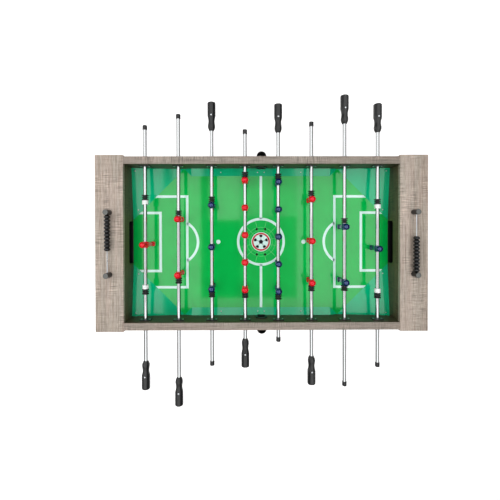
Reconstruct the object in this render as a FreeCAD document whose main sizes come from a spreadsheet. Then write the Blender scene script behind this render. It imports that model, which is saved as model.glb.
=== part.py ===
import FreeCAD, Part
import math
import os
import re
import Sketcher

# Full-size foosball table, eight rods.
# Frame: origin on the floor under the middle of the table, X along the table, Y across it
# (the grips of the blue rods are at +Y), Z up. Millimetres throughout.

Vector = FreeCAD.Vector
Rotation = FreeCAD.Rotation
Placement = FreeCAD.Placement
AXIS_Y = Vector(0, 1, 0)
AXIS_Z = Vector(0, 0, 1)

DIMENSIONS = {
    # cabinet
    "table_length": 1397, "cap_span": 742, "rail_span": 730,
    "inner_length": 1162, "inner_width": 666, "rim_height": 864,
    "cap_thickness": 18, "cap_overhang": 6, "cabinet_base": 574,
    "field_height": 744, "field_thickness": 12,
    "goal_wall_thickness": 15, "end_panel_thickness": 18,
    "bottom_thickness": 10, "bottom_height": 580,
    "goal_width": 190, "goal_height": 52, "goal_corner": 12,
    "return_width": 120, "return_low": 690, "return_high": 753, "return_corner": 10,
    # goal box behind each goal wall
    "goal_box_width": 224, "goal_box_top": 800, "goal_box_wall": 3,
    # ramps on the field
    "corner_leg": 232, "corner_rise": 22, "strip_width": 33, "strip_rise": 10,
    # ball entry
    "entry_height": 782, "entry_bore": 18.5, "entry_wall": 2, "entry_ring": 27,
    "entry_ring_depth": 4, "cup_reach": 9.5, "cup_radius": 21, "cup_top": 820,
    # rods
    "axis_height": 824, "rod_pitch": 143.2, "rod_radius": 7.95, "rod_bore": 5.95,
    "running_gap": 0.05,
    # bearings
    "flange_width": 46, "flange_rise": 30, "flange_thickness": 4,
    "sleeve_radius": 12, "outer_flange_radius": 17, "outer_flange_thickness": 3,
    "bearing_screw_reach": 18, "screw_radius": 1.6, "screw_head": 3.4,
    "screw_head_rise": 1.4, "screw_length": 16,
    # bumpers and stop collars
    "bumper_length": 22, "bumper_radius": 13, "bumper_neck": 10, "bumper_lip": 4.5,
    "collar_length": 18, "collar_radius": 13,
    # players
    "player_half": 14, "player_foot": 69, "player_head": 14, "player_head_rise": 21,
    # grips and end caps
    "grip_length": 123, "grip_bore": 106, "grip_radius": 17,
    "end_cap_length": 20, "end_cap_radius": 9.8, "end_cap_bore": 16,
    # bead counters
    "post_radius": 11.5, "post_neck": 9.5, "post_top": 10.5, "post_rise": 40,
    "post_reach": 130, "counter_reach": 638, "wire_radius": 2.5, "wire_rise": 22,
    "bead_radius": 13, "bead_waist": 8, "bead_length": 14.6, "bead_pitch": 14.8,
    # legs, bolts and levellers
    "leg_side": 90, "leg_base": 18,
    "bolt_radius": 4, "bolt_head": 8, "bolt_head_rise": 4, "bolt_length": 58,
    "leveller_pad": 20, "leveller_pad_height": 10, "leveller_nut": 9,
    "leveller_stud": 5, "leveller_stud_length": 46, "leveller_bore_depth": 60,
}

# Heights of the leg bolts through the side panels and through the end panels.
SIDE_BOLT_HEIGHTS = (612, 692)
END_BOLT_HEIGHTS = (632, 712)

# Each kind of rod: player spacing and count, the half length from its middle to the grip
# and to the far end, and the half spread of its bumpers' outer faces.
ROD_KINDS = {
    "goalie": {"count": 1, "spacing": 0, "grip_at": 501, "end_at": 512.5, "spread": 213.5},
    "two": {"count": 2, "spacing": 239, "grip_at": 562.5, "end_at": 570, "spread": 156.5},
    "three": {"count": 3, "spacing": 178.7, "grip_at": 498, "end_at": 512.5, "spread": 216},
    "five": {"count": 5, "spacing": 116.8, "grip_at": 447, "end_at": 453.5, "spread": 270.5},
}

# The rods in order along X: kind, side of the grip, place of the rod's middle along Y, and
# how far its players lean (degrees, feet towards +X).
RODS = [
    ("goalie", -1, -7.0, 13),
    ("two", -1, -17.0, 2),
    ("three", 1, -17.0, 0),
    ("five", -1, 34.0, 0),
    ("five", 1, 26.5, 0),
    ("three", -1, 8.0, 0),
    ("two", 1, -51.0, -4),
    ("goalie", 1, -26.0, 0),
]

doc = FreeCAD.newDocument("foosball_table")
sheet = doc.addObject("Spreadsheet::Sheet", "dims")
for row, (alias, value) in enumerate(DIMENSIONS.items(), start=1):
    sheet.set(f"A{row}", alias)
    sheet.set(f"B{row}", str(value))
    sheet.setAlias(f"B{row}", alias)
doc.recompute()

nodes = []


def size(alias):
    """A driving dimension, read from the sheet."""
    return float(sheet.get(alias))


def bound(text):
    """An expression in plain aliases, with each alias pointed at the sheet."""
    return re.sub(r"[a-z][a-z_]+", lambda word: "dims." + word.group(0), text)


def node(item, label):
    """Gives a finished sub-part its label, which names its file."""
    item.Label = label
    nodes.append(item)
    return item


# ---------------------------------------------------------------- sketches and features

def new_body(name):
    return doc.addObject("PartDesign::Body", name)


def new_sketch(body, name, role):
    """A sketch on one of the body's own planes."""
    sketch = body.newObject("Sketcher::SketchObject", name)
    plane = next(item for item in body.Origin.OriginFeatures if item.Role == role)
    sketch.AttachmentSupport = [(plane, "")]
    sketch.MapMode = "FlatFace"
    return sketch


def pin_point(sketch, geometry, place, across, along):
    """Fixes a point of the sketch at a distance across and along from the origin."""
    for kind, axis, value in (("DistanceX", -2, across), ("DistanceY", -1, along)):
        if value == "0":
            sketch.addConstraint(Sketcher.Constraint("PointOnObject", geometry, place, axis))
        else:
            index = sketch.addConstraint(
                Sketcher.Constraint(kind, -1, 1, geometry, place, 1.0))
            sketch.setExpression(f"Constraints[{index}]", bound(value))


def outline(sketch, points):
    """A closed outline of straight edges through points given as pairs of expressions."""
    count = len(points)
    first = sketch.GeometryCount
    ring = [Vector(math.cos(2 * math.pi * k / count), math.sin(2 * math.pi * k / count), 0)
            for k in range(count)]
    for k in range(count):
        sketch.addGeometry(Part.LineSegment(ring[k], ring[(k + 1) % count]), False)
    for k in range(count):
        following = first + (k + 1) % count
        sketch.addConstraint(Sketcher.Constraint("Coincident", first + k, 2, following, 1))
    for k, (across, along) in enumerate(points):
        pin_point(sketch, first + k, 1, across, along)


def rectangle(sketch, low_x, high_x, low_y, high_y):
    outline(sketch, [(low_x, low_y), (high_x, low_y), (high_x, high_y), (low_x, high_y)])


def circle(sketch, across, along, radius):
    index = sketch.addGeometry(Part.Circle(Vector(1, 1, 0), AXIS_Z, 1.0), False)
    pin_point(sketch, index, 3, across, along)
    datum = sketch.addConstraint(Sketcher.Constraint("Radius", index, 1.0))
    sketch.setExpression(f"Constraints[{datum}]", bound(radius))


def pad(body, sketch, length, midplane=False):
    feature = body.newObject("PartDesign::Pad", sketch.Name + "_pad")
    feature.Profile = sketch
    feature.Midplane = midplane
    feature.setExpression("Length", bound(length))
    return feature


def pocket(body, sketch, length, midplane=True):
    feature = body.newObject("PartDesign::Pocket", sketch.Name + "_pocket")
    feature.Profile = sketch
    feature.Midplane = midplane
    feature.setExpression("Length", bound(length))
    return feature


def turned(name, points):
    """A turned piece about Z: its outline is pairs of (radius, height)."""
    body = new_body(name)
    sketch = new_sketch(body, name + "_outline", "XZ_Plane")
    outline(sketch, points)
    feature = body.newObject("PartDesign::Revolution", name + "_turn")
    feature.Profile = sketch
    feature.ReferenceAxis = (sketch, ["V_Axis"])
    feature.Angle = 360
    return body


# ---------------------------------------------------------------- primitives and booleans

def placed(item, x="0", y="0", z="0"):
    for axis, value in (("x", x), ("y", y), ("z", z)):
        item.setExpression(f".Placement.Base.{axis}", bound(value))
    return item


def block(name, length, width, height, x="0", y="0", z="0"):
    item = doc.addObject("Part::Box", name)
    item.setExpression("Length", bound(length))
    item.setExpression("Width", bound(width))
    item.setExpression("Height", bound(height))
    return placed(item, x, y, z)


def rod_shape(name, radius, height, x="0", y="0", z="0", along_y=False):
    item = doc.addObject("Part::Cylinder", name)
    item.setExpression("Radius", bound(radius))
    item.setExpression("Height", bound(height))
    if along_y:
        item.Placement = Placement(Vector(), Rotation(Vector(1, 0, 0), -90))
    return placed(item, x, y, z)


def cut(name, base, tool):
    item = doc.addObject("Part::Cut", name)
    item.Base = base
    item.Tool = tool
    return item


def fuse(name, shapes):
    item = doc.addObject("Part::MultiFuse", name)
    item.Shapes = shapes
    return item


def add_solids(label, solids):
    """One sub-part made of one or more loose solids."""
    item = doc.addObject("Part::Feature", label)
    item.Shape = Part.makeCompound(solids)
    item.Placement = Placement()
    return node(item, label)


def copies(label, placements_of):
    """Loose copies of finished pieces: pairs of (piece, its placements) make one sub-part."""
    doc.recompute()
    solids = []
    for piece, placements in placements_of:
        for placement in placements:
            solid = piece.Shape.copy()
            solid.Placement = placement.multiply(piece.Shape.Placement)
            solids.append(solid)
    return add_solids(label, solids)


# ---------------------------------------------------------------- cabinet boards

def rod_x(number):
    """Place of rod 1 to 8 along X, as an expression."""
    return f"{number - 4.5} * rod_pitch"


def make_side_panel(label, side):
    """Long side board: bored for the eight bearings, their screws, the ball entry and the
    leg bolts, and notched at both top corners where the end caps lie on it."""
    body = new_body(label)
    half = "(table_length / 2 - cap_overhang)"
    notch = "(rim_height - cap_thickness)"
    face = new_sketch(body, label + "_face", "XZ_Plane")
    outline(face, [
        (f"-{half}", "cabinet_base"), (half, "cabinet_base"), (half, notch),
        ("inner_length / 2", notch), ("inner_length / 2", "rim_height"),
        ("-inner_length / 2", "rim_height"), ("-inner_length / 2", notch),
        (f"-{half}", notch),
    ])
    board = pad(body, face, "(rail_span - inner_width) / 2")
    board.Reversed = side > 0
    bores = new_sketch(body, label + "_bores", "XZ_Plane")
    for number in range(1, 9):
        circle(bores, rod_x(number), "axis_height", "sleeve_radius")
        for sign in ("-", "+"):
            screw_x = f"{rod_x(number)} {sign} bearing_screw_reach"
            circle(bores, screw_x, "axis_height", "screw_radius")
    circle(bores, "0", "entry_height", "entry_bore + entry_wall")
    for sign in ("-", ""):
        for height in SIDE_BOLT_HEIGHTS:
            leg_middle = f"{sign}({half} - end_panel_thickness - leg_side / 2)"
            circle(bores, leg_middle, str(height), "bolt_radius")
    pocket(body, bores, "rail_span")
    placed(body, y=f"{side} * inner_width / 2")
    return node(body, label)


def make_end_panel(label, side):
    """Outer end board, with the opening where the ball is taken out and the leg bolts."""
    body = new_body(label)
    face = new_sketch(body, label + "_face", "YZ_Plane")
    rectangle(face, "-inner_width / 2", "inner_width / 2", "cabinet_base",
              "rim_height - cap_thickness")
    board = pad(body, face, "end_panel_thickness")
    board.Reversed = side < 0
    holes = new_sketch(body, label + "_holes", "YZ_Plane")
    corner = "return_corner"
    outline(holes, [
        (f"-return_width / 2 + {corner}", "return_low"),
        (f"return_width / 2 - {corner}", "return_low"),
        ("return_width / 2", f"return_low + {corner}"),
        ("return_width / 2", f"return_high - {corner}"),
        (f"return_width / 2 - {corner}", "return_high"),
        (f"-return_width / 2 + {corner}", "return_high"),
        ("-return_width / 2", f"return_high - {corner}"),
        ("-return_width / 2", f"return_low + {corner}"),
    ])
    for sign in ("-", ""):
        for height in END_BOLT_HEIGHTS:
            circle(holes, f"{sign}(inner_width / 2 - leg_side / 2)", str(height), "bolt_radius")
    pocket(body, holes, "2 * end_panel_thickness + 2")
    placed(body, x=f"{side} * (table_length / 2 - cap_overhang - end_panel_thickness)")
    return node(body, label)


def make_goal_wall(label, side):
    """Inner end board that stands on the field, with the goal cut into its lower edge."""
    body = new_body(label)
    face = new_sketch(body, label + "_face", "YZ_Plane")
    corner = "goal_corner"
    lintel = "(field_height + goal_height)"
    outline(face, [
        ("-inner_width / 2", "field_height"), ("-goal_width / 2", "field_height"),
        ("-goal_width / 2", f"{lintel} - {corner}"),
        (f"-goal_width / 2 + 0.3 * {corner}", f"{lintel} - 0.3 * {corner}"),
        (f"-goal_width / 2 + {corner}", lintel), (f"goal_width / 2 - {corner}", lintel),
        (f"goal_width / 2 - 0.3 * {corner}", f"{lintel} - 0.3 * {corner}"),
        ("goal_width / 2", f"{lintel} - {corner}"),
        ("goal_width / 2", "field_height"), ("inner_width / 2", "field_height"),
        ("inner_width / 2", "rim_height - cap_thickness"),
        ("-inner_width / 2", "rim_height - cap_thickness"),
    ])
    board = pad(body, face, "goal_wall_thickness")
    board.Reversed = side < 0
    placed(body, x=f"{side} * inner_length / 2")
    return node(body, label)


def make_flat_board(label, low_x, high_x, half_width, base, thickness):
    """A plain board lying flat, centred across the table."""
    body = new_body(label)
    face = new_sketch(body, label + "_face", "XY_Plane")
    rectangle(face, low_x, high_x, f"-{half_width}", half_width)
    pad(body, face, thickness)
    placed(body, z=base)
    return node(body, label)


def make_cabinet():
    for label, side in (("side_panel_front", -1), ("side_panel_back", 1)):
        make_side_panel(label, side)
    for name, side in (("left", -1), ("right", 1)):
        make_end_panel(f"end_panel_{name}", side)
        make_goal_wall(f"goal_wall_{name}", side)
    under_cap = "rim_height - cap_thickness"
    make_flat_board("top_cap_left", "-table_length / 2", "-inner_length / 2", "cap_span / 2",
                    under_cap, "cap_thickness")
    make_flat_board("top_cap_right", "inner_length / 2", "table_length / 2", "cap_span / 2",
                    under_cap, "cap_thickness")
    field_half = "(inner_length / 2 + goal_wall_thickness)"
    make_flat_board("playfield", f"-{field_half}", field_half, "inner_width / 2",
                    "field_height - field_thickness", "field_thickness")
    bottom_half = "(table_length / 2 - cap_overhang - end_panel_thickness - leg_side)"
    make_flat_board("bottom_panel", f"-{bottom_half}", bottom_half, "inner_width / 2",
                    "bottom_height", "bottom_thickness")


def solid_of(faces):
    """A closed solid from flat faces given as lists of corners."""
    shells = [Part.Face(Part.makePolygon(corners + corners[:1])) for corners in faces]
    return Part.Solid(Part.makeShell(shells))


def make_ramps():
    """Corner ramps rise to the cabinet's corners, side ramps to the long walls between them,
    so that the ball always rolls back to the players."""
    field = size("field_height")
    corner_x = size("inner_length") / 2
    corner_y = size("inner_width") / 2
    leg = size("corner_leg")
    corners = []
    for sx, sy in ((-1, -1), (1, -1), (1, 1), (-1, 1)):
        corner = Vector(sx * corner_x, sy * corner_y, field)
        along = Vector(sx * (corner_x - leg), sy * corner_y, field)
        across = Vector(sx * corner_x, sy * (corner_y - leg), field)
        peak = corner + Vector(0, 0, size("corner_rise"))
        corners.append(solid_of([
            [corner, along, across], [corner, peak, along], [corner, across, peak],
            [along, peak, across],
        ]))
    add_solids("corner_ramps", corners)
    strips = []
    reach = corner_x - leg
    width = size("strip_width")
    for sy in (-1, 1):
        wall = [Vector(sx * reach, sy * corner_y, field) for sx in (-1, 1)]
        foot = [Vector(sx * (reach - width), sy * (corner_y - width), field) for sx in (-1, 1)]
        crest = [Vector(sx * (reach - width), sy * corner_y, field + size("strip_rise"))
                 for sx in (-1, 1)]
        strips.append(solid_of([
            [wall[0], wall[1], foot[1], foot[0]], [wall[0], wall[1], crest[1], crest[0]],
            [foot[0], foot[1], crest[1], crest[0]], [wall[0], foot[0], crest[0]],
            [wall[1], foot[1], crest[1]],
        ]))
    add_solids("side_ramps", strips)


def make_goal_boxes():
    """Catcher behind each goal wall: the ball falls in over the field's edge, and is taken
    out through the hole in the end panel."""
    depth = ("(table_length / 2 - cap_overhang - end_panel_thickness - inner_length / 2"
             " - goal_wall_thickness)")
    wall = "goal_box_wall"
    shell = block("goal_box_shell", depth, "goal_box_width",
                  f"goal_box_top - return_low + 2 * {wall}", y="-goal_box_width / 2",
                  z=f"return_low - {wall}")
    room = block("goal_box_room", f"{depth} - 2 * {wall}", f"goal_box_width - 2 * {wall}",
                 "goal_box_top - return_low", x=wall, y=f"-goal_box_width / 2 + {wall}",
                 z="return_low")
    mouth = block("goal_box_mouth", f"2 * {wall}", "goal_width", "goal_height",
                  x=f"-{wall}", y="-goal_width / 2", z="field_height")
    hand = block("goal_box_hand_hole", f"2 * {wall}", "return_width",
                 "return_high - return_low", x=f"{depth} - {wall} * 1.5",
                 y="-return_width / 2", z="return_low")
    piece = cut("goal_box", shell, fuse("goal_box_space", [room, mouth, hand]))
    reach = size("inner_length") / 2 + size("goal_wall_thickness")
    copies("goal_boxes", [(piece, [
        Placement(Vector(reach, 0, 0), Rotation()),
        Placement(Vector(-reach, 0, 0), Rotation(AXIS_Z, 180)),
    ])])


def make_ball_entries():
    """Ball entry on each long side: an open cup outside, a tube through the panel and a ring
    against the inner wall, moulded in one. Built for the +Y side, at y = 0 on the inner face."""
    panel = "((rail_span - inner_width) / 2)"
    outer = "(entry_bore + entry_wall)"
    floor = "(entry_height - entry_bore - entry_wall)"
    middle = f"({panel} + cup_reach)"
    back = block("cup_back", "2 * cup_radius", "cup_reach", f"cup_top - {floor}",
                 x="-cup_radius", y=panel, z=floor)
    bow = rod_shape("cup_bow", "cup_radius", f"cup_top - {floor}", y=middle, z=floor)
    tube = rod_shape("entry_tube", outer, panel, z="entry_height", along_y=True)
    ring = rod_shape("entry_ring_disc", "entry_ring", "entry_ring_depth",
                     y="-entry_ring_depth", z="entry_height", along_y=True)
    room = "(cup_radius - entry_wall)"
    # The bow's cylinder would reach back into the panel, so it is trimmed at the outer face.
    trim = block("cup_trim", "4 * cup_radius", panel, f"cup_top - {floor} + 2",
                 x="-2 * cup_radius", z=f"{floor} - 1")
    shell = fuse("entry_shell", [cut("cup_shell", fuse("cup_solid", [back, bow]), trim),
                                 tube, ring])
    hollow_back = block("cup_room_back", f"2 * {room}", "cup_reach + 1", "cup_top",
                        x=f"-{room}", y=panel, z=f"{floor} + entry_wall")
    hollow_bow = cut("cup_room_bow_open",
                     rod_shape("cup_room_bow", room, "cup_top", y=middle,
                               z=f"{floor} + entry_wall"),
                     block("cup_room_trim", "4 * cup_radius", panel, "2 * cup_top",
                           x="-2 * cup_radius"))
    bore = rod_shape("entry_bore_hole", "entry_bore",
                     f"{panel} + entry_ring_depth + 2", y="-entry_ring_depth - 1",
                     z="entry_height", along_y=True)
    piece = cut("ball_entry", shell, fuse("entry_space", [hollow_back, hollow_bow, bore]))
    wall = size("inner_width") / 2
    copies("ball_entry_cups", [(piece, [
        Placement(Vector(0, wall, 0), Rotation()),
        Placement(Vector(0, -wall, 0), Rotation(AXIS_Z, 180)),
    ])])


def both_walls(number, height=0.0, shift=0.0):
    """Placements at a rod's place on the two inner walls, +Y outwards in the piece's frame."""
    x = (number - 4.5) * size("rod_pitch")
    wall = size("inner_width") / 2
    return [Placement(Vector(x + shift, wall, height), Rotation()),
            Placement(Vector(x - shift, -wall, height), Rotation(AXIS_Z, 180))]


def make_bearings():
    """Bearing bush of each rod: a flange inside, a sleeve through the panel and a round
    flange outside. The rod slides and turns in it."""
    panel = "((rail_span - inner_width) / 2)"
    plate = block("bearing_plate", "flange_width", "flange_thickness", "flange_rise",
                  x="-flange_width / 2", y="-flange_thickness", z="-flange_rise / 2")
    sleeve = rod_shape("bearing_sleeve", "sleeve_radius", panel, along_y=True)
    disc = rod_shape("bearing_disc", "outer_flange_radius", "outer_flange_thickness",
                     y=panel, along_y=True)
    length = f"{panel} + flange_thickness + outer_flange_thickness + 2"
    holes = [rod_shape("bearing_bore", "rod_radius + running_gap", length,
                       y="-flange_thickness - 1", along_y=True)]
    for sign, name in (("-", "low"), ("", "high")):
        holes.append(rod_shape(f"bearing_screw_hole_{name}", "screw_radius",
                               "flange_thickness + 2", x=f"{sign}bearing_screw_reach",
                               y="-flange_thickness - 1", along_y=True))
    piece = cut("bearing", fuse("bearing_solid", [plate, sleeve, disc]),
                fuse("bearing_holes", holes))
    height = size("axis_height")
    spots = [spot for number in range(1, 9) for spot in both_walls(number, height)]
    copies("rod_bearings", [(piece, spots)])

    # Pan-head screw lying along +Y, its head against the flange.
    screw = turned("screw", [
        ("0", "-flange_thickness - screw_head_rise"),
        ("0.6 * screw_head", "-flange_thickness - screw_head_rise"),
        ("screw_head", "-flange_thickness - 0.5 * screw_head_rise"),
        ("screw_head", "-flange_thickness"), ("screw_radius", "-flange_thickness"),
        ("screw_radius", "screw_length"), ("0", "screw_length"),
    ])
    laid = Placement(Vector(), Rotation(Vector(1, 0, 0), -90))
    reach = size("bearing_screw_reach")
    spots = [spot.multiply(laid) for number in range(1, 9) for shift in (-reach, reach)
             for spot in both_walls(number, height, shift)]
    copies("bearing_screws", [(screw, spots)])


def make_counters():
    """Bead counter on each end cap: two posts, a wire between them and ten beads."""
    post = turned("post_blank", [
        ("0", "0"), ("post_radius", "0"), ("post_radius", "6"), ("post_neck", "9"),
        ("post_neck", "post_rise - 7"), ("post_top", "post_rise - 5"),
        ("post_top", "post_rise - 1"), ("post_top - 1", "post_rise"), ("0", "post_rise"),
    ])
    hole = rod_shape("post_wire_hole", "wire_radius", "4 * post_radius",
                     y="-2 * post_radius", z="wire_rise", along_y=True)
    drilled = cut("post", post, hole)
    rim = size("rim_height")
    reach_x = size("counter_reach")
    reach_y = size("post_reach")
    copies("score_posts", [(drilled, [
        Placement(Vector(sx * reach_x, sy * reach_y, rim), Rotation())
        for sx in (-1, 1) for sy in (-1, 1)])])
    wire = rod_shape("wire", "wire_radius", "2 * post_reach + 2 * post_radius",
                     y="-post_reach - post_radius", z="wire_rise", along_y=True)
    copies("score_wires", [(wire, [
        Placement(Vector(sx * reach_x, 0, rim), Rotation()) for sx in (-1, 1)])])
    bead = turned("bead", [
        ("wire_radius + running_gap", "0"), ("bead_waist", "0"),
        ("bead_radius - 1", "2.6"), ("bead_radius", "4.6"),
        ("bead_radius", "bead_length - 4.6"), ("bead_radius - 1", "bead_length - 2.6"),
        ("bead_waist", "bead_length"),
        ("wire_radius + running_gap", "bead_length"),
    ])
    laid = Rotation(Vector(1, 0, 0), -90)
    pitch = size("bead_pitch")
    inner_face = reach_y - size("post_radius")
    height = rim + size("wire_rise")
    for name, side, start in (("left", -1, inner_face - 10 * pitch), ("right", 1, -inner_face)):
        spots = [Placement(Vector(side * reach_x, start + 0.1 + k * pitch, height), laid)
                 for k in range(10)]
        copies(f"score_beads_{name}", [(bead, spots)])


# ---------------------------------------------------------------- legs

def make_legs():
    """Square posts inside the cabinet's four corners, bolted through the side panels and the
    end panels, each on a screw leveller."""
    top = "(field_height - field_thickness)"
    post = block("leg_post", "leg_side", "leg_side", f"{top} - leg_base",
                 x="-leg_side / 2", y="-leg_side / 2", z="leg_base")
    bore = rod_shape("leveller_bore", "leveller_stud + running_gap", "leveller_bore_depth",
                     z="leg_base")
    holes = [bore]
    panel = size("rail_span") / 2 - size("inner_width") / 2
    for height in SIDE_BOLT_HEIGHTS:
        holes.append(rod_shape(f"side_bolt_hole_{height}", "bolt_radius",
                               f"bolt_length - {panel}", z=str(height),
                               y=f"leg_side / 2 - bolt_length + {panel}", along_y=True))
    for height in END_BOLT_HEIGHTS:
        hole = doc.addObject("Part::Cylinder", f"end_bolt_hole_{height}")
        hole.setExpression("Radius", bound("bolt_radius"))
        hole.setExpression("Height", bound("bolt_length - end_panel_thickness"))
        hole.Placement = Placement(Vector(), Rotation(AXIS_Y, 90))
        placed(hole, x="leg_side / 2 - bolt_length + end_panel_thickness", z=str(height))
        holes.append(hole)
    leg = cut("leg", post, fuse("leg_holes", holes))

    middle_x = (size("table_length") / 2 - size("cap_overhang")
                - size("end_panel_thickness") - size("leg_side") / 2)
    middle_y = size("inner_width") / 2 - size("leg_side") / 2
    # The leg's bolt holes face +X and +Y, so each corner takes the copy turned its way:
    # two corners take the leg itself and two its mirror image.
    doc.recompute()
    mirrored = doc.addObject("Part::Mirroring", "leg_mirrored")
    mirrored.Source = leg
    mirrored.Normal = Vector(1, 0, 0)
    turned_round = Rotation(AXIS_Z, 180)
    copies("legs", [
        (leg, [Placement(Vector(middle_x, middle_y, 0), Rotation()),
               Placement(Vector(-middle_x, -middle_y, 0), turned_round)]),
        (mirrored, [Placement(Vector(-middle_x, middle_y, 0), Rotation()),
                    Placement(Vector(middle_x, -middle_y, 0), turned_round)]),
    ])

    # Bolt along Z: the head's underside is at 0 and the shank runs to -bolt_length.
    bolt = turned("leg_bolt", [
        ("0", "-bolt_length"), ("bolt_radius", "-bolt_length"), ("bolt_radius", "0"),
        ("bolt_head", "0"), ("bolt_head", "0.4 * bolt_head_rise"),
        ("0.7 * bolt_head", "bolt_head_rise"), ("0", "bolt_head_rise"),
    ])
    outer_y = size("rail_span") / 2
    outer_x = size("table_length") / 2 - size("cap_overhang")
    spots = []
    for sx in (-1, 1):
        for sy in (-1, 1):
            for height in SIDE_BOLT_HEIGHTS:
                spots.append(Placement(Vector(sx * middle_x, sy * outer_y, height),
                                       Rotation(AXIS_Z, Vector(0, sy, 0))))
            for height in END_BOLT_HEIGHTS:
                spots.append(Placement(Vector(sx * outer_x, sy * middle_y, height),
                                       Rotation(AXIS_Z, Vector(sx, 0, 0))))
    copies("leg_bolts", [(bolt, spots)])

    leveller = turned("leveller", [
        ("0", "0"), ("leveller_pad - 2", "0"), ("leveller_pad", "2"), ("leveller_pad", "6"),
        ("leveller_nut", "leveller_pad_height"), ("leveller_nut", "leg_base"),
        ("leveller_stud", "leg_base"), ("leveller_stud", "leg_base + leveller_stud_length"),
        ("0", "leg_base + leveller_stud_length"),
    ])
    for row, sy in (("front", -1), ("back", 1)):
        for name, sx in (("left", -1), ("right", 1)):
            spot = Placement(Vector(sx * middle_x, sy * middle_y, 0), Rotation())
            copies(f"leveller_{row}_{name}", [(leveller, [spot])])


# ---------------------------------------------------------------- rods

def make_player():
    """One player about the rod's axis along Y: a side outline and a front outline crossed,
    with a ball for the head, bored for the rod."""
    foot = "player_foot"
    front = new_body("player_side_cut")
    side_sketch = new_sketch(front, "player_side", "XZ_Plane")
    outline(side_sketch, [
        ("-9", f"-{foot}"), ("9", f"-{foot}"), ("9", f"-{foot} + 12"), ("5.5", f"-{foot} + 18"),
        ("7", "-30"), ("11", "-10"), ("11.5", "6"), ("8", "15"), ("-8", "15"),
        ("-11.5", "6"), ("-11", "-10"), ("-7", "-30"), ("-5.5", f"-{foot} + 18"),
        ("-9", f"-{foot} + 12"),
    ])
    pad(front, side_sketch, "2 * player_half", midplane=True)
    width = new_body("player_front_cut")
    front_sketch = new_sketch(width, "player_front", "YZ_Plane")
    outline(front_sketch, [
        ("-11", f"-{foot}"), ("11", f"-{foot}"), ("11", f"-{foot} + 10"), ("8", f"-{foot} + 18"),
        ("9", "-28"), ("12", "-12"), ("player_half", "-6"), ("player_half", "9"), ("10", "15"),
        ("-10", "15"), ("-player_half", "9"), ("-player_half", "-6"), ("-12", "-12"),
        ("-9", "-28"), ("-8", f"-{foot} + 18"), ("-11", f"-{foot} + 10"),
    ])
    pad(width, front_sketch, "60", midplane=True)
    trunk = doc.addObject("Part::Common", "player_trunk")
    trunk.Base = front
    trunk.Tool = width
    head = doc.addObject("Part::Sphere", "player_head_ball")
    head.setExpression("Radius", bound("player_head"))
    placed(head, z="player_head_rise")
    hub = rod_shape("player_hub", "rod_radius + 5", "24", y="-12", along_y=True)
    bore = rod_shape("player_bore", "rod_radius", "40", y="-20", along_y=True)
    return cut("player", fuse("player_solid", [trunk, head, hub]), bore)


def make_rod_masters():
    """The pieces that every rod shares, each about Z with its outer end up, except the player."""
    hole = "rod_radius + running_gap"
    bumper = turned("bumper", [
        (hole, "0"), ("bumper_radius", "0"), ("bumper_radius", "bumper_lip"),
        ("bumper_neck", "bumper_lip + 1"), ("bumper_neck", "bumper_length - bumper_lip - 1"),
        ("bumper_radius", "bumper_length - bumper_lip"), ("bumper_radius", "bumper_length"),
        (hole, "bumper_length"),
    ])
    collar = turned("collar", [
        ("rod_radius", "0"), ("collar_radius - 1", "0"), ("collar_radius", "1"),
        ("collar_radius", "collar_length - 1"), ("collar_radius - 1", "collar_length"),
        ("rod_radius", "collar_length"),
    ])
    grip = turned("grip", [
        ("rod_radius", "0"), ("9.5", "0"), ("12.5", "5"), ("15.5", "16"), ("15.8", "24"),
        ("13.3", "42"), ("13.3", "46"), ("grip_radius", "66"),
        ("grip_radius", "grip_length - 5"), ("grip_radius - 4", "grip_length"),
        ("0", "grip_length"), ("0", "grip_bore"), ("rod_radius", "grip_bore"),
    ])
    end_cap = turned("end_cap", [
        ("rod_radius", "0"), ("end_cap_radius", "0"),
        ("end_cap_radius", "end_cap_length - 2"), ("end_cap_radius - 2", "end_cap_length"),
        ("0", "end_cap_length"), ("0", "end_cap_bore"), ("rod_radius", "end_cap_bore"),
    ])
    return {"player": make_player(), "bumper": bumper, "collar": collar, "grip": grip,
            "end_cap": end_cap}


def make_tube(label, x, low, high):
    """Hollow steel rod along Y between two ends."""
    body = new_body(label)
    ring = new_sketch(body, label + "_ring", "XZ_Plane")
    circle(ring, "0", "0", "rod_radius")
    circle(ring, "0", "0", "rod_bore")
    tube = pad(body, ring, str(high - low))
    tube.Reversed = True
    placed(body, x=x, y=str(low), z="axis_height")
    return node(body, label)


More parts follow.
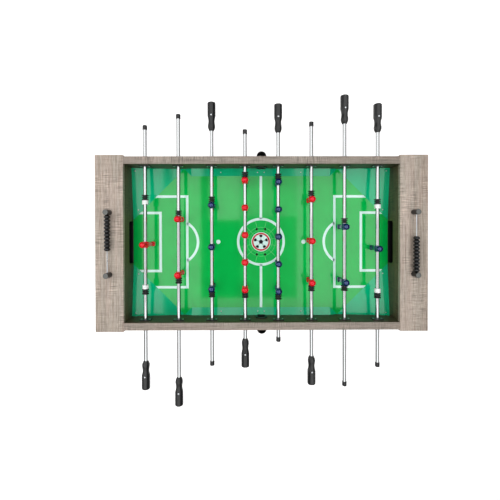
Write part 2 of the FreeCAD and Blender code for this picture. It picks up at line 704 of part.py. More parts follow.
def make_rod(number, masters):
    """One rod with everything that rides on it."""
    kind_name, side, middle, lean = RODS[number - 1]
    kind = ROD_KINDS[kind_name]
    x = (number - 4.5) * size("rod_pitch")
    height = size("axis_height")
    outward = {1: Rotation(AXIS_Z, Vector(0, 1, 0)), -1: Rotation(AXIS_Z, Vector(0, -1, 0))}

    def at(along, rotation):
        return Placement(Vector(x, middle + along, height), rotation)

    label = f"rod_{number}"
    grip_end = side * (kind["grip_at"] + size("grip_bore"))
    far_end = -side * (kind["end_at"] - size("end_cap_length") + size("end_cap_bore"))
    low, high = sorted((middle + grip_end, middle + far_end))
    make_tube(f"{label}_tube", rod_x(number), low, high)

    first = -(kind["count"] - 1) / 2
    lean_turn = Rotation(AXIS_Y, -lean)
    players = [at((first + k) * kind["spacing"], lean_turn) for k in range(kind["count"])]
    copies(f"{label}_players", [(masters["player"], players)])

    grip = at(side * kind["grip_at"], outward[side])
    cap = at(-side * (kind["end_at"] - size("end_cap_length")), outward[-side])
    copies(f"{label}_grip", [(masters["grip"], [grip]), (masters["end_cap"], [cap])])

    bumper_at = kind["spread"] - size("bumper_length")
    bumpers = [at(way * bumper_at, outward[way]) for way in (-1, 1)]
    copies(f"{label}_bumpers", [(masters["bumper"], bumpers)])
    if kind_name == "goalie":
        collar_at = bumper_at - size("collar_length") - 0.5
        collars = [at(way * collar_at, outward[way]) for way in (-1, 1)]
        copies(f"{label}_stop_collars", [(masters["collar"], collars)])


# ---------------------------------------------------------------- build, check and write

def check_everything():
    doc.recompute()
    for item in doc.Objects:
        if "Invalid" in item.State or "Error" in item.State:
            raise RuntimeError(f"{item.Name} failed: {item.State}")
    for item in nodes:
        if item.Shape.isNull() or not item.Shape.isValid() or not item.Shape.Solids:
            raise RuntimeError(f"{item.Label} has no valid shape")


def write_parts():
    os.makedirs("parts", exist_ok=True)
    for item in nodes:
        item.Shape.exportStep(f"parts/{item.Label}.step")
        box = item.Shape.BoundBox
        print(f"{item.Label:24s} solids {len(item.Shape.Solids):3d}  "
              f"x {box.XMin:8.1f} {box.XMax:8.1f}  y {box.YMin:8.1f} {box.YMax:8.1f}  "
              f"z {box.ZMin:7.1f} {box.ZMax:7.1f}")
    print(len(nodes), "sub-parts")


make_cabinet()
make_ramps()
make_goal_boxes()
make_ball_entries()
make_bearings()
make_counters()
make_legs()
shared = make_rod_masters()
for rod_number in range(1, 9):
    make_rod(rod_number, shared)
check_everything()
write_parts()
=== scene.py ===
import logging
import math
from dataclasses import dataclass
from enum import Enum
from typing import Sequence

import bmesh
import bpy
import numpy as np
from mathutils import Euler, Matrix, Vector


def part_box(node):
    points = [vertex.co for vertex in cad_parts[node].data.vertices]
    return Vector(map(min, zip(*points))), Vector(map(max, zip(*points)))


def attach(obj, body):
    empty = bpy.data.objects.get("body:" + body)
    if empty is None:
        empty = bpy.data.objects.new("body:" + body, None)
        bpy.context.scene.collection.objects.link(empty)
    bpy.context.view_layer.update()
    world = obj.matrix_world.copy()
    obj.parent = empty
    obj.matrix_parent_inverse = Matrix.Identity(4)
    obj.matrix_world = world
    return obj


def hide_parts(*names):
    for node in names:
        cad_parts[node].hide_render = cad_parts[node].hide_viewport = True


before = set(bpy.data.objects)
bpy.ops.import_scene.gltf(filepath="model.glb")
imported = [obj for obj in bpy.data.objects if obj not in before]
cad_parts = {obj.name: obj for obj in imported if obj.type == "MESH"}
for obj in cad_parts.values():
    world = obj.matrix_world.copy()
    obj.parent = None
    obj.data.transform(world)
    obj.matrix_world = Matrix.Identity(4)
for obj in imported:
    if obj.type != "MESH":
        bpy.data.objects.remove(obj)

logging.basicConfig(level=logging.INFO, format="%(message)s")
log = logging.getLogger("foosball")

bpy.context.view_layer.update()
MM = 0.001
Grid = np.ndarray


class Axis(Enum):
    """A row axis, with the order that puts a piece turned about Z on it."""

    X = (2, 0, 1)
    Y = (1, 2, 0)
    Z = (0, 1, 2)


class Team(Enum):
    """The two sides, with the way their players face along X and their grips point along Y."""

    RED = 1
    BLUE = -1


# ---- node trees


def linear(code: str) -> tuple[float, float, float, float]:
    """Turns an sRGB hex colour into the linear colour that shaders take.

    Args:
        code: the colour as "#rrggbb".

    Returns:
        Linear red, green, blue and an alpha of 1.
    """
    parts = [int(code[k:k + 2], 16) / 255 for k in (1, 3, 5)]
    turned = [c / 12.92 if c <= 0.04045 else ((c + 0.055) / 1.055) ** 2.4 for c in parts]
    return (*turned, 1.0)


def add_node(tree: bpy.types.NodeTree, kind: str, inputs: dict | None = None,
             stops: Sequence[tuple[float, str]] = (), **settings: object) -> bpy.types.Node:
    """Adds one node with its settings, input values and links.

    Args:
        tree: the node tree.
        kind: the node's type name.
        inputs: a value or an output socket for each named or numbered input.
        stops: places and colours of a colour ramp.
        settings: the node's own properties.

    Returns:
        The new node.
    """
    node = tree.nodes.new(kind)
    for key, value in settings.items():
        setattr(node, key, value)
    for key, value in (inputs or {}).items():
        if isinstance(value, bpy.types.NodeSocket):
            tree.links.new(value, node.inputs[key])
        else:
            node.inputs[key].default_value = value
    if stops:
        elements = node.color_ramp.elements
        while len(elements) < len(stops):
            elements.new(0.5)
        for element, (place, code) in zip(elements, stops):
            element.position = place
            element.color = linear(code)
    return node


# ---- finishes


@dataclass(frozen=True)
class Finish:
    """A real material and how its surface was made.

    Attributes:
        name: the material's common name and process.
        slot: the record's material slot that it stands for; it is not used.
        color: base colour, sRGB.
        roughness: how much the surface scatters a reflection.
        metallic: 1 for bare or plated metal.
        coat: weight of a clear glossy layer on top.
        coat_roughness: roughness of that layer.
        grain_mm: size of the surface grain, drawn coarser than the real one so it shows.
        grain_depth_mm: height of that grain.
        specular: reflection of the layer under the coat, 0.5 for a bare plastic.
        edge: tint of a plastic's reflection, or of a metal's at a grazing angle.
    """

    name: str
    slot: str
    color: str
    roughness: float
    metallic: float = 0.0
    coat: float = 0.0
    coat_roughness: float = 0.04
    grain_mm: float = 0.8
    grain_depth_mm: float = 0.01
    specular: float = 0.5
    edge: str = "#FFFFFF"

    def material(self) -> bpy.types.Material:
        """Makes the finish's material, once for each name.

        Returns:
            The material.
        """
        made = bpy.data.materials.get(self.name)
        if made is None:
            made = bpy.data.materials.new(self.name)
            made.use_nodes = True
            tree = made.node_tree
            shader = tree.nodes["Principled BSDF"]
            constants = {
                "Base Color": linear(self.color), "Roughness": self.roughness,
                "Metallic": self.metallic, "Specular IOR Level": self.specular,
                "Specular Tint": linear(self.edge),
                "Coat Weight": self.coat, "Coat Roughness": self.coat_roughness,
            }
            for key, value in constants.items():
                shader.inputs[key].default_value = value
            self.shade(tree, shader)
        return made

    def place(self, tree: bpy.types.NodeTree, size_mm: Sequence[float],
              offset: Sequence[float] = (0.0, 0.0, 0.0)) -> bpy.types.NodeSocket:
        """Object coordinates divided by a pattern's size, so one pattern unit is that long.

        Args:
            tree: the node tree.
            size_mm: length of one pattern unit along X, Y and Z.
            offset: a shift in pattern units, so that two boards don't match.

        Returns:
            The vector output to drive a texture with.
        """
        coords = add_node(tree, "ShaderNodeTexCoord")
        scale = tuple(1 / (length * MM) for length in size_mm)
        mapping = add_node(tree, "ShaderNodeMapping", {
            "Vector": coords.outputs["Object"], "Location": tuple(offset), "Scale": scale})
        return mapping.outputs["Vector"]

    def shade(self, tree: bpy.types.NodeTree, shader: bpy.types.Node) -> None:
        """Gives a moulded or plated surface its fine grain and uneven gloss.

        The roughness wanders from 0.8 to 1.25 of its value over patches 25 grains wide.

        Args:
            tree: the node tree.
            shader: its Principled shader.
        """
        fine = add_node(tree, "ShaderNodeTexNoise", {
            "Vector": self.place(tree, (self.grain_mm,) * 3), "Scale": 1.0, "Detail": 2.0})
        broad = add_node(tree, "ShaderNodeTexNoise", {
            "Vector": self.place(tree, (self.grain_mm * 25,) * 3), "Scale": 1.0, "Detail": 3.0})
        uneven = add_node(tree, "ShaderNodeMapRange", {
            "Value": broad.outputs["Fac"], "To Min": self.roughness * 0.8,
            "To Max": self.roughness * 1.25})
        bump = add_node(tree, "ShaderNodeBump", {
            "Height": fine.outputs["Fac"], "Strength": 1.0,
            "Distance": self.grain_depth_mm * MM})
        tree.links.new(uneven.outputs["Result"], shader.inputs["Roughness"])
        tree.links.new(bump.outputs["Normal"], shader.inputs["Normal"])


@dataclass(frozen=True)
class OakLaminate(Finish):
    """Grey oak melamine: printed grain under a matt film with an embossed cross weave.

    Attributes:
        grain: the axis the printed grain runs along.
        seed: a shift of the print, so that boards differ.
        tone: brightness of the whole print.
        inner_shade: tint of painted shade inside the playing box, or "" for a board without it.
        inner_shade_half_mm: the painted shade is nearer the table's middle than this.
        inner_shade_low_mm: the painted shade is above this height.
    """

    grain: Axis = Axis.X
    seed: float = 0.0
    tone: float = 0.88
    inner_shade: str = ""
    inner_shade_half_mm: float = 0.0
    inner_shade_low_mm: float = 0.0

    def along(self, length: float, across: float) -> tuple[float, ...]:
        """Pattern size with its long side on the grain's axis."""
        return tuple(length if axis is self.grain else across for axis in Axis)

    def shade(self, tree: bpy.types.NodeTree, shader: bpy.types.Node) -> None:
        """Layers the print: broad planks of tone, cathedral streaks, pores and the weave.

        Args:
            tree: the node tree.
            shader: its Principled shader.
        """
        shift = (self.seed, self.seed * 1.7, self.seed * 2.3)
        # Length along the grain and across it in millimetres, then detail, roughness and
        # distortion. The weave's ridges are about 5 mm apart, strong only in patches.
        layers = {
            "tone": (420, 34, 2.0, 0.5, 0.3), "streak": (160, 5.5, 6.0, 0.62, 0.5),
            "pores": (26, 1.6, 3.0, 0.5, 0.0), "ridges": (3.4, 46, 1.0, 0.5, 0.0),
            "patches": (110, 42, 1.0, 0.5, 0.0),
        }
        print_of = {}
        for layer, (length, across, detail, rough, warp) in layers.items():
            print_of[layer] = add_node(tree, "ShaderNodeTexNoise", {
                "Vector": self.place(tree, self.along(length, across), shift), "Scale": 1.0,
                "Detail": detail, "Roughness": rough, "Distortion": warp}).outputs["Fac"]
        base = add_node(tree, "ShaderNodeValToRGB", {"Fac": print_of["tone"]}, stops=[
            (0.30, "#A29486"), (0.45, "#AE9F90"), (0.56, "#B79F90"), (0.70, "#A8978A")])
        lines = add_node(tree, "ShaderNodeValToRGB", {"Fac": print_of["streak"]}, stops=[
            (0.32, "#6E6056"), (0.45, "#B0A598"), (0.58, "#D2C6B9"), (0.72, "#A0938A")])
        printed = add_node(tree, "ShaderNodeMix", {
            0: 0.52, 6: base.outputs["Color"], 7: lines.outputs["Color"]},
            data_type="RGBA", blend_type="MIX")
        # Each layer's low and high value, and what they turn to: pores darken the print, the
        # patches let the weave in, and its ridges go from dark to light.
        ranges = {"pores": (0.36, 0.52, 0.74, 1.0), "patches": (0.48, 0.62, 0.07, 0.36),
                  "ridges": (0.35, 0.65, -1.0, 1.0)}
        speck, weave_gate, ridge_tone = (add_node(tree, "ShaderNodeMapRange", {
            "Value": print_of[layer], "From Min": from_low, "From Max": from_high,
            "To Min": to_low, "To Max": to_high}).outputs["Result"]
            for layer, (from_low, from_high, to_low, to_high) in ranges.items())
        weave = add_node(tree, "ShaderNodeMath", {
            0: ridge_tone, 1: weave_gate}, operation="MULTIPLY")
        gain = add_node(tree, "ShaderNodeMath", {
            0: weave.outputs[0], 1: self.tone, 2: self.tone}, operation="MULTIPLY_ADD")
        dimmed = add_node(tree, "ShaderNodeMath", {
            0: gain.outputs[0], 1: speck}, operation="MULTIPLY")
        woven = add_node(tree, "ShaderNodeVectorMath", {
            0: printed.outputs[2], "Scale": dimmed.outputs[0]}, operation="SCALE")
        color = woven.outputs["Vector"]
        # Inside the playing box the print is darkened towards olive: painted shade on its walls.
        if self.inner_shade:
            color = self.shade_inside(tree, color)
        relief = add_node(tree, "ShaderNodeMath", {
            0: print_of["pores"], 1: weave.outputs[0]}, operation="ADD")
        bump = add_node(tree, "ShaderNodeBump", {
            "Height": relief.outputs[0], "Strength": 0.6, "Distance": 0.12 * MM})
        tree.links.new(color, shader.inputs["Base Color"])
        tree.links.new(bump.outputs["Normal"], shader.inputs["Normal"])

    def shade_inside(self, tree: bpy.types.NodeTree,
                    outside: bpy.types.NodeSocket) -> bpy.types.NodeSocket:
        """Darkens the print on the walls inside the playing box with painted shade.

        Args:
            tree: the node tree.
            outside: the colour of the outer film.

        Returns:
            The colour with the painted shade in it.
        """
        coords = add_node(tree, "ShaderNodeTexCoord")
        parts = add_node(tree, "ShaderNodeSeparateXYZ", {0: coords.outputs["Object"]})
        side = "X" if self.grain is Axis.Y else "Y"
        reach = add_node(tree, "ShaderNodeMath", {0: parts.outputs[side]},
                         operation="ABSOLUTE")
        inside = add_node(tree, "ShaderNodeMath", {
            0: reach.outputs[0], 1: self.inner_shade_half_mm * MM}, operation="LESS_THAN")
        above = add_node(tree, "ShaderNodeMath", {
            0: parts.outputs["Z"], 1: self.inner_shade_low_mm * MM}, operation="GREATER_THAN")
        both = add_node(tree, "ShaderNodeMath", {0: inside.outputs[0], 1: above.outputs[0]},
                        operation="MULTIPLY")
        tint = add_node(tree, "ShaderNodeMix", {0: 1.0, 6: outside, 7: linear(self.inner_shade)},
                        data_type="RGBA", blend_type="MULTIPLY")
        inner_shaded = add_node(tree, "ShaderNodeMix", {
            0: both.outputs[0], 6: outside, 7: tint.outputs[2]}, data_type="RGBA")
        return inner_shaded.outputs[2]


@dataclass(frozen=True)
class PrintedFilm(Finish):
    """Green inkjet print under clear gloss film, laid on the field board.

    The ink is nearly even, and the film has the slight waviness of a laminated sheet.
    """

    def shade(self, tree: bpy.types.NodeTree, shader: bpy.types.Node) -> None:
        """Adds the ink's faint mottling, 70 mm wide, and the film's waves, 45 mm wide.

        Args:
            tree: the node tree.
            shader: its Principled shader.
        """
        ink = add_node(tree, "ShaderNodeTexNoise", {
            "Vector": self.place(tree, (70, 70, 70)), "Scale": 1.0, "Detail": 3.0})
        tint = add_node(tree, "ShaderNodeMapRange", {
            "Value": ink.outputs["Fac"], "From Min": 0.3, "From Max": 0.7,
            "To Min": 0.94, "To Max": 1.06})
        mottled = add_node(tree, "ShaderNodeVectorMath", {
            0: linear(self.color)[:3], "Scale": tint.outputs["Result"]}, operation="SCALE")
        wave = add_node(tree, "ShaderNodeTexNoise", {
            "Vector": self.place(tree, (45, 45, 45)), "Scale": 1.0, "Detail": 1.0})
        bump = add_node(tree, "ShaderNodeBump", {
            "Height": wave.outputs["Fac"], "Strength": 1.0,
            "Distance": self.grain_depth_mm * MM})
        tree.links.new(mottled.outputs["Vector"], shader.inputs["Base Color"])
        tree.links.new(bump.outputs["Normal"], shader.inputs["Coat Normal"])


@dataclass(frozen=True)
class PolishedPlate(Finish):
    """Bright plating on ground tube: sharp reflections with faint rings from the grinding."""

    def shade(self, tree: bpy.types.NodeTree, shader: bpy.types.Node) -> None:
        """Adds the grinding rings round the tube's axis, Y, as changes of its polish.

        They are 0.9 mm apart, coarser than real ones, so that they show.

        Args:
            tree: the node tree.
            shader: its Principled shader.
        """
        rings = add_node(tree, "ShaderNodeTexNoise", {
            "Vector": self.place(tree, (60, 0.9, 60)), "Scale": 1.0, "Detail": 2.0})
        uneven = add_node(tree, "ShaderNodeMapRange", {
            "Value": rings.outputs["Fac"], "To Min": self.roughness * 0.7,
            "To Max": self.roughness * 1.4})
        tree.links.new(uneven.outputs["Result"], shader.inputs["Roughness"])


# ABS from a polished mould: deep red, with small sharp lights that stay reddish.
RED_ABS = Finish("gloss_moulded_abs_red", "red_plastic", "#DC1020", 0.14, coat=0.35,
                 coat_roughness=0.05, specular=1.0, edge="#FF6E80")
# The same mould in navy: nearly black in shade, with cold blue lights.
BLUE_ABS = Finish("gloss_moulded_abs_navy", "blue_plastic", "#06164C", 0.14, coat=0.6,
                  coat_roughness=0.05, specular=1.0, edge="#9CC4FF")
# ABS from a fine-blasted mould: black with broad soft lights along its edges.
BLACK_ABS = Finish("satin_moulded_abs_black", "black_plastic", "#131415", 0.34,
                   grain_mm=0.6, grain_depth_mm=0.02)
# The same surface in grey: flat and pale beside the black.
GREY_ABS = Finish("satin_moulded_abs_grey", "black_plastic", "#5F615E", 0.35)
# ABS from a smooth mould: black with a thin bright line along each row of beads.
BEAD_ABS = Finish("gloss_moulded_abs_bead_black", "black_beads", "#161718", 0.25, coat=0.3)
# Moulded rubber: dull black that only greys a little on its ridges.
BLACK_RUBBER = Finish("moulded_rubber_black", "black_rubber", "#17181A", 0.62,
                      grain_mm=0.5, grain_depth_mm=0.03)
# Moulded nylon: clean white with a soft waxy shine.
WHITE_NYLON = Finish("moulded_nylon_white", "white_plastic", "#EDF1F0", 0.35)
# Chrome on ground steel tube: a mirror, with light and dark bands along the rod.
CHROME = PolishedPlate("chrome_plated_steel_tube", "chromed_steel", "#C0C2C3", 0.07,
                       metallic=1.0, edge="#242628")
# Zinc plate on a steel fastener: pale grey metal with blurred lights.
ZINC = Finish("zinc_plated_steel", "zinc_steel", "#C4C7CA", 0.28, metallic=1.0,
              grain_mm=0.7, grain_depth_mm=0.004)


def film(name: str, color: str) -> PrintedFilm:
    """One ink of the field's print under its clear gloss film."""
    return PrintedFilm(name, "printed_field", color, 0.5, coat=1.0, coat_roughness=0.07,
                       grain_depth_mm=0.02, specular=0.0)


# Print under gloss film: even colours that don't shine, below a layer that mirrors the lights.
FIELD_FILM = film("gloss_laminated_field_print", "#00B64B")
LINE_INK = film("gloss_print_white", "#D5F5EE")
PALE_INK = film("gloss_print_pale_green", "#62D07C")
DARK_INK = film("gloss_print_black", "#0C1313")
RED_INK = film("gloss_print_red", "#C4222B")
# ABS dyed through, from a polished mould: blue-green with the same clear shine as the film.
RAMP_ABS = Finish("gloss_moulded_abs_green", "ramp_plastic", "#00B67C", 0.5, coat=1.0,
                  coat_roughness=0.08, specular=0.0)
# Bare hardboard: dull brown with coarse fibres.
HARDBOARD = Finish("raw_hardboard", "raw_board", "#8A6B4C", 0.8, grain_mm=1.5,
                   grain_depth_mm=0.1)


# ---- surfaces


@dataclass
class Surface:
    """A grid of points (rows, columns, 3) whose columns close into a ring.

    Attributes:
        points: the grid.
        loop_rows: whether the last row joins the first, as on a hollow ring.
        capped: whether a fan of triangles closes each end row.
    """

    points: Grid
    loop_rows: bool = False
    capped: bool = True

    def mesh_data(self) -> tuple[Grid, Grid, Grid]:
        """Vertices, quads and triangles, turned to face outwards.

        Each quad joins a point to its neighbours in the next column and row. The solid's
        signed volume is the sum over triangles of a . (b x c) / 6, and a negative volume
        means the faces look inwards, so they are reversed.

        Returns:
            Arrays of vertices (n, 3), quads (q, 4) and triangles (t, 3).
        """
        rows, columns, _ = self.points.shape
        index = np.arange(rows * columns).reshape(rows, columns)
        right = np.roll(index, -1, axis=1)
        if self.loop_rows:
            up, up_right = np.roll(index, -1, axis=0), np.roll(right, -1, axis=0)
            quads = np.stack([index, right, up_right, up], axis=-1).reshape(-1, 4)
        else:
            quads = np.stack([index[:-1], right[:-1], right[1:], index[1:]], axis=-1)
            quads = quads.reshape(-1, 4)
        vertices = self.points.reshape(-1, 3)
        triangles = np.zeros((0, 3), int)
        if self.capped and not self.loop_rows:
            poles = self.points[[0, -1]].mean(axis=1)
            first, last = len(vertices), len(vertices) + 1
            vertices = np.vstack([vertices, poles])
            low = np.stack([np.full(columns, first), right[0], index[0]], axis=-1)
            high = np.stack([np.full(columns, last), index[-1], right[-1]], axis=-1)
            triangles = np.vstack([low, high])
        pieces = np.vstack([quads[:, [0, 1, 2]], quads[:, [0, 2, 3]], triangles])
        a, b, c = (vertices[pieces[:, k]] for k in range(3))
        if np.einsum("ij,ij->i", a, np.cross(b, c)).sum() < 0:
            quads, triangles = quads[:, ::-1], triangles[:, ::-1]
        return vertices, quads, triangles


def show(name: str, mesh: bpy.types.Mesh, sharp_degrees: float, finish: Finish, body: str,
         *nodes: str) -> None:
    """Makes a mesh a finished piece on its body and the CAD nodes it stands for.

    Args:
        name: the piece's name.
        mesh: its mesh, in metres.
        sharp_degrees: edges that bend more than this stay crisp.
        finish: its finish, which names the slot.
        body: the body that it moves with.
        nodes: CAD nodes that it replaces.
    """
    mesh.polygons.foreach_set("use_smooth", np.ones(len(mesh.polygons), bool))
    mesh.update()
    mesh.set_sharp_from_angle(angle=math.radians(sharp_degrees))
    mesh.materials.clear()
    mesh.materials.append(finish.material())
    piece = bpy.data.objects.new(name, mesh)
    bpy.context.scene.collection.objects.link(piece)
    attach(piece, body)
    if nodes:
        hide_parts(*nodes)
    log.info("%s: %d faces on %s", name, len(mesh.polygons), body)


def add_piece(name: str, surfaces: Sequence[Surface], finish: Finish, body: str,
              *nodes: str, sharp_degrees: float = 35.0) -> None:
    """Joins surfaces into one piece.

    Args:
        name: the piece's name.
        surfaces: its closed surfaces, in metres.
        finish: its finish.
        body: the body that it moves with.
        nodes: CAD nodes that it replaces.
        sharp_degrees: edges that bend more than this stay crisp.
    """
    points, faces, start = [], [], 0
    for surface in surfaces:
        vertices, quads, triangles = surface.mesh_data()
        points.append(vertices)
        faces += (quads + start).tolist() + (triangles + start).tolist()
        start += len(vertices)
    mesh = bpy.data.meshes.new(name)
    mesh.from_pydata(np.vstack(points).tolist(), [], faces)
    show(name, mesh, sharp_degrees, finish, body, *nodes)


def round_angles(columns: int) -> Grid:
    """Evenly spaced angles of one full turn, as a row (1, columns)."""
    return np.linspace(0, 2 * math.pi, columns, endpoint=False)[None, :]


def turned(profile: Sequence[tuple[float, float]], origin: Sequence[float],
           axis: Axis = Axis.Z, way: int = 1, columns: int = 32,
           hollow: bool = False) -> Surface:
    """A lathe-turned piece.

    Each (radius, distance) pair of the profile goes round the axis: the point at angle t is
    (radius cos t, radius sin t) across the axis and distance along it.

    Args:
        profile: radius and distance pairs in millimetres.
        origin: where distance 0 lies, in metres.
        axis: the axis it is turned about.
        way: 1 or -1, the direction of increasing distance.
        columns: points round the axis.
        hollow: whether the profile is a closed loop, as of a ring.

    Returns:
        The surface.
    """
    radius, distance = (np.array(column)[:, None] * MM for column in zip(*profile))
    angle = round_angles(columns)
    local = np.stack([radius * np.cos(angle), radius * np.sin(angle),
                      way * distance + 0 * angle], axis=-1)
    points = local[..., list(axis.value)] + np.array(origin)
    return Surface(points, loop_rows=hollow)


def rounded(radius: float, low: float, high: float, ease: float,
            inner: float = 0.0) -> list[tuple[float, float]]:
    """Profile of a plain cylinder with quarter-round edges.

    A ring of points 1 mm inside each edge, or nearer on a short piece, keeps the long
    wall's shading straight.

    Args:
        radius: outer radius in millimetres.
        low: lower end.
        high: upper end.
        ease: radius of the edges.
        inner: bore radius; 0 gives a solid cylinder, whose ends close on a 0.01 mm ring.

    Returns:
        Radius and distance pairs.
    """
    turn = np.linspace(0, math.pi / 2, 5)
    bottom = [(radius - ease + ease * math.sin(t), low + ease - ease * math.cos(t))
              for t in turn]
    top = [(radius - ease + ease * math.cos(t), high - ease + ease * math.sin(t))
           for t in turn]
    hold = min(1.0, (high - low - 2 * ease) / 4)
    wall = [(radius, low + ease + hold), (radius, high - ease - hold)]
    bore = max(inner, 0.01)
    return [(bore, low), *bottom, *wall, *top, (bore, high)]


def eased_copy(node: str, finish: Finish, ease_mm: float) -> None:
    """Puts a copy of a CAD board with rounded long edges, as edge banding has, in its place.

    Args:
        node: the CAD node.
        finish: the board's finish.
        ease_mm: width of the rounded edge.
    """
    flat_degrees, corner_degrees, crisp_degrees = 0.5, 60, 30
    shortest_edge_mm = 12
    name = f"{node}_board"
    shape = bmesh.new()
    shape.from_mesh(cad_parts[node].data)
    bmesh.ops.remove_doubles(shape, verts=shape.verts, dist=1e-6)
    bmesh.ops.dissolve_limit(shape, angle_limit=math.radians(flat_degrees), verts=shape.verts,
                             edges=shape.edges, use_dissolve_boundaries=False)
    corners = [edge for edge in shape.edges
               if len(edge.link_faces) == 2
               and edge.calc_face_angle() > math.radians(corner_degrees)
               and edge.calc_length() > shortest_edge_mm * MM]
    bmesh.ops.bevel(shape, geom=corners, offset=ease_mm * MM, segments=2, profile=0.5,
                    affect="EDGES", clamp_overlap=True)
    mesh = bpy.data.meshes.new(name)
    shape.to_mesh(mesh)
    shape.free()
    normals = mesh.attributes.get("custom_normal")
    if normals:
        mesh.attributes.remove(normals)
    show(name, mesh, crisp_degrees, finish, "cabinet", node)


def dress_node(node: str, finish: Finish) -> None:
    """Gives a CAD node that keeps its own shape a better finish.

    Args:
        node: the CAD node.
        finish: the finish.
    """
    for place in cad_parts[node].material_slots:
        place.material = finish.material()
    log.info("%s: CAD shape with %s", node, finish.name)


# ---- cabinet


@dataclass
class Cabinet:
    """The box: laminated boards, legs, bottom, bearings, ball entries and fasteners.

    Attributes:
        inner_shade: tint of the painted shade on the walls inside the playing box.
        rail_tone: brightness of the long boards.
        cap_tone: brightness of the other boards.
        edge_mm: rounding of the boards' edges.
        inner_shade_low_mm: the painted shade is above this height, just under the field.
        inner_shade_past_mm: how far past the inner faces the painted shade goes on the long
        boards, and on the goal walls, where it has to pass the wall's thickness.
    """

    # A dull olive that darkens the print on the walls inside the box: painted shade.
    inner_shade: str = "#7F7C62"
    rail_tone: float = 0.61
    cap_tone: float = 0.87
    edge_mm: float = 0.9
    inner_shade_low_mm: float = 740.0
    inner_shade_past_mm: tuple[float, float] = (0.5, 30.0)

    def oak(self, name: str, grain: Axis, seed: float, half_mm: float = 0.0) -> OakLaminate:
        """Oak laminate cut for one board.

        Args:
            name: the board.
            grain: the axis that its grain runs along.
            seed: a shift of its print.
            half_mm: the painted shade is nearer the table's middle than this; 0 leaves it out.

        Returns:
            The board's own finish.
        """
        tone = self.rail_tone if grain is Axis.X else self.cap_tone
        return OakLaminate(f"oak_melamine_{name}", "oak_laminate", "#A89C91", 0.5,
                           grain=grain, seed=seed, tone=tone,
                           inner_shade=self.inner_shade if half_mm else "",
                           inner_shade_half_mm=half_mm, inner_shade_low_mm=self.inner_shade_low_mm)

    def build(self) -> None:
        """Replaces each board with its eased copy. Every board has its own seed."""
        past_side, past_goal = self.inner_shade_past_mm
        half_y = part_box("playfield")[1][1] / MM + past_side
        half_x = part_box("goal_wall_right")[0][0] / MM + past_goal
        for seed, side in enumerate(("front", "back")):
            node = f"side_panel_{side}"
            eased_copy(node, self.oak(node, Axis.X, 3.1 + seed * 7.3, half_y), self.edge_mm)
        for seed, side in enumerate(("left", "right")):
            for board, inside, shift in (("end_panel", 0.0, 11.3), ("goal_wall", half_x, 19.1),
                                         ("top_cap", 0.0, 27.7)):
                node = f"{board}_{side}"
                eased_copy(node, self.oak(node, Axis.Y, shift + seed * 5.9, inside),
                           self.edge_mm)
        eased_copy("legs", self.oak("legs", Axis.Z, 41.9), 2 * self.edge_mm)

    def dress(self) -> None:
        """Finishes the CAD nodes that keep their own shape."""
        finishes = {
            "bottom_panel": HARDBOARD, "goal_boxes": BLACK_ABS, "rod_bearings": BLACK_ABS,
            "bearing_screws": ZINC, "ball_entry_cups": BLACK_ABS, "leg_bolts": ZINC,
        }
        for node, finish in finishes.items():
            dress_node(node, finish)
        for row in ("front", "back"):
            for side in ("left", "right"):
                dress_node(f"leveller_{row}_{side}", BLACK_ABS)


# ---- field


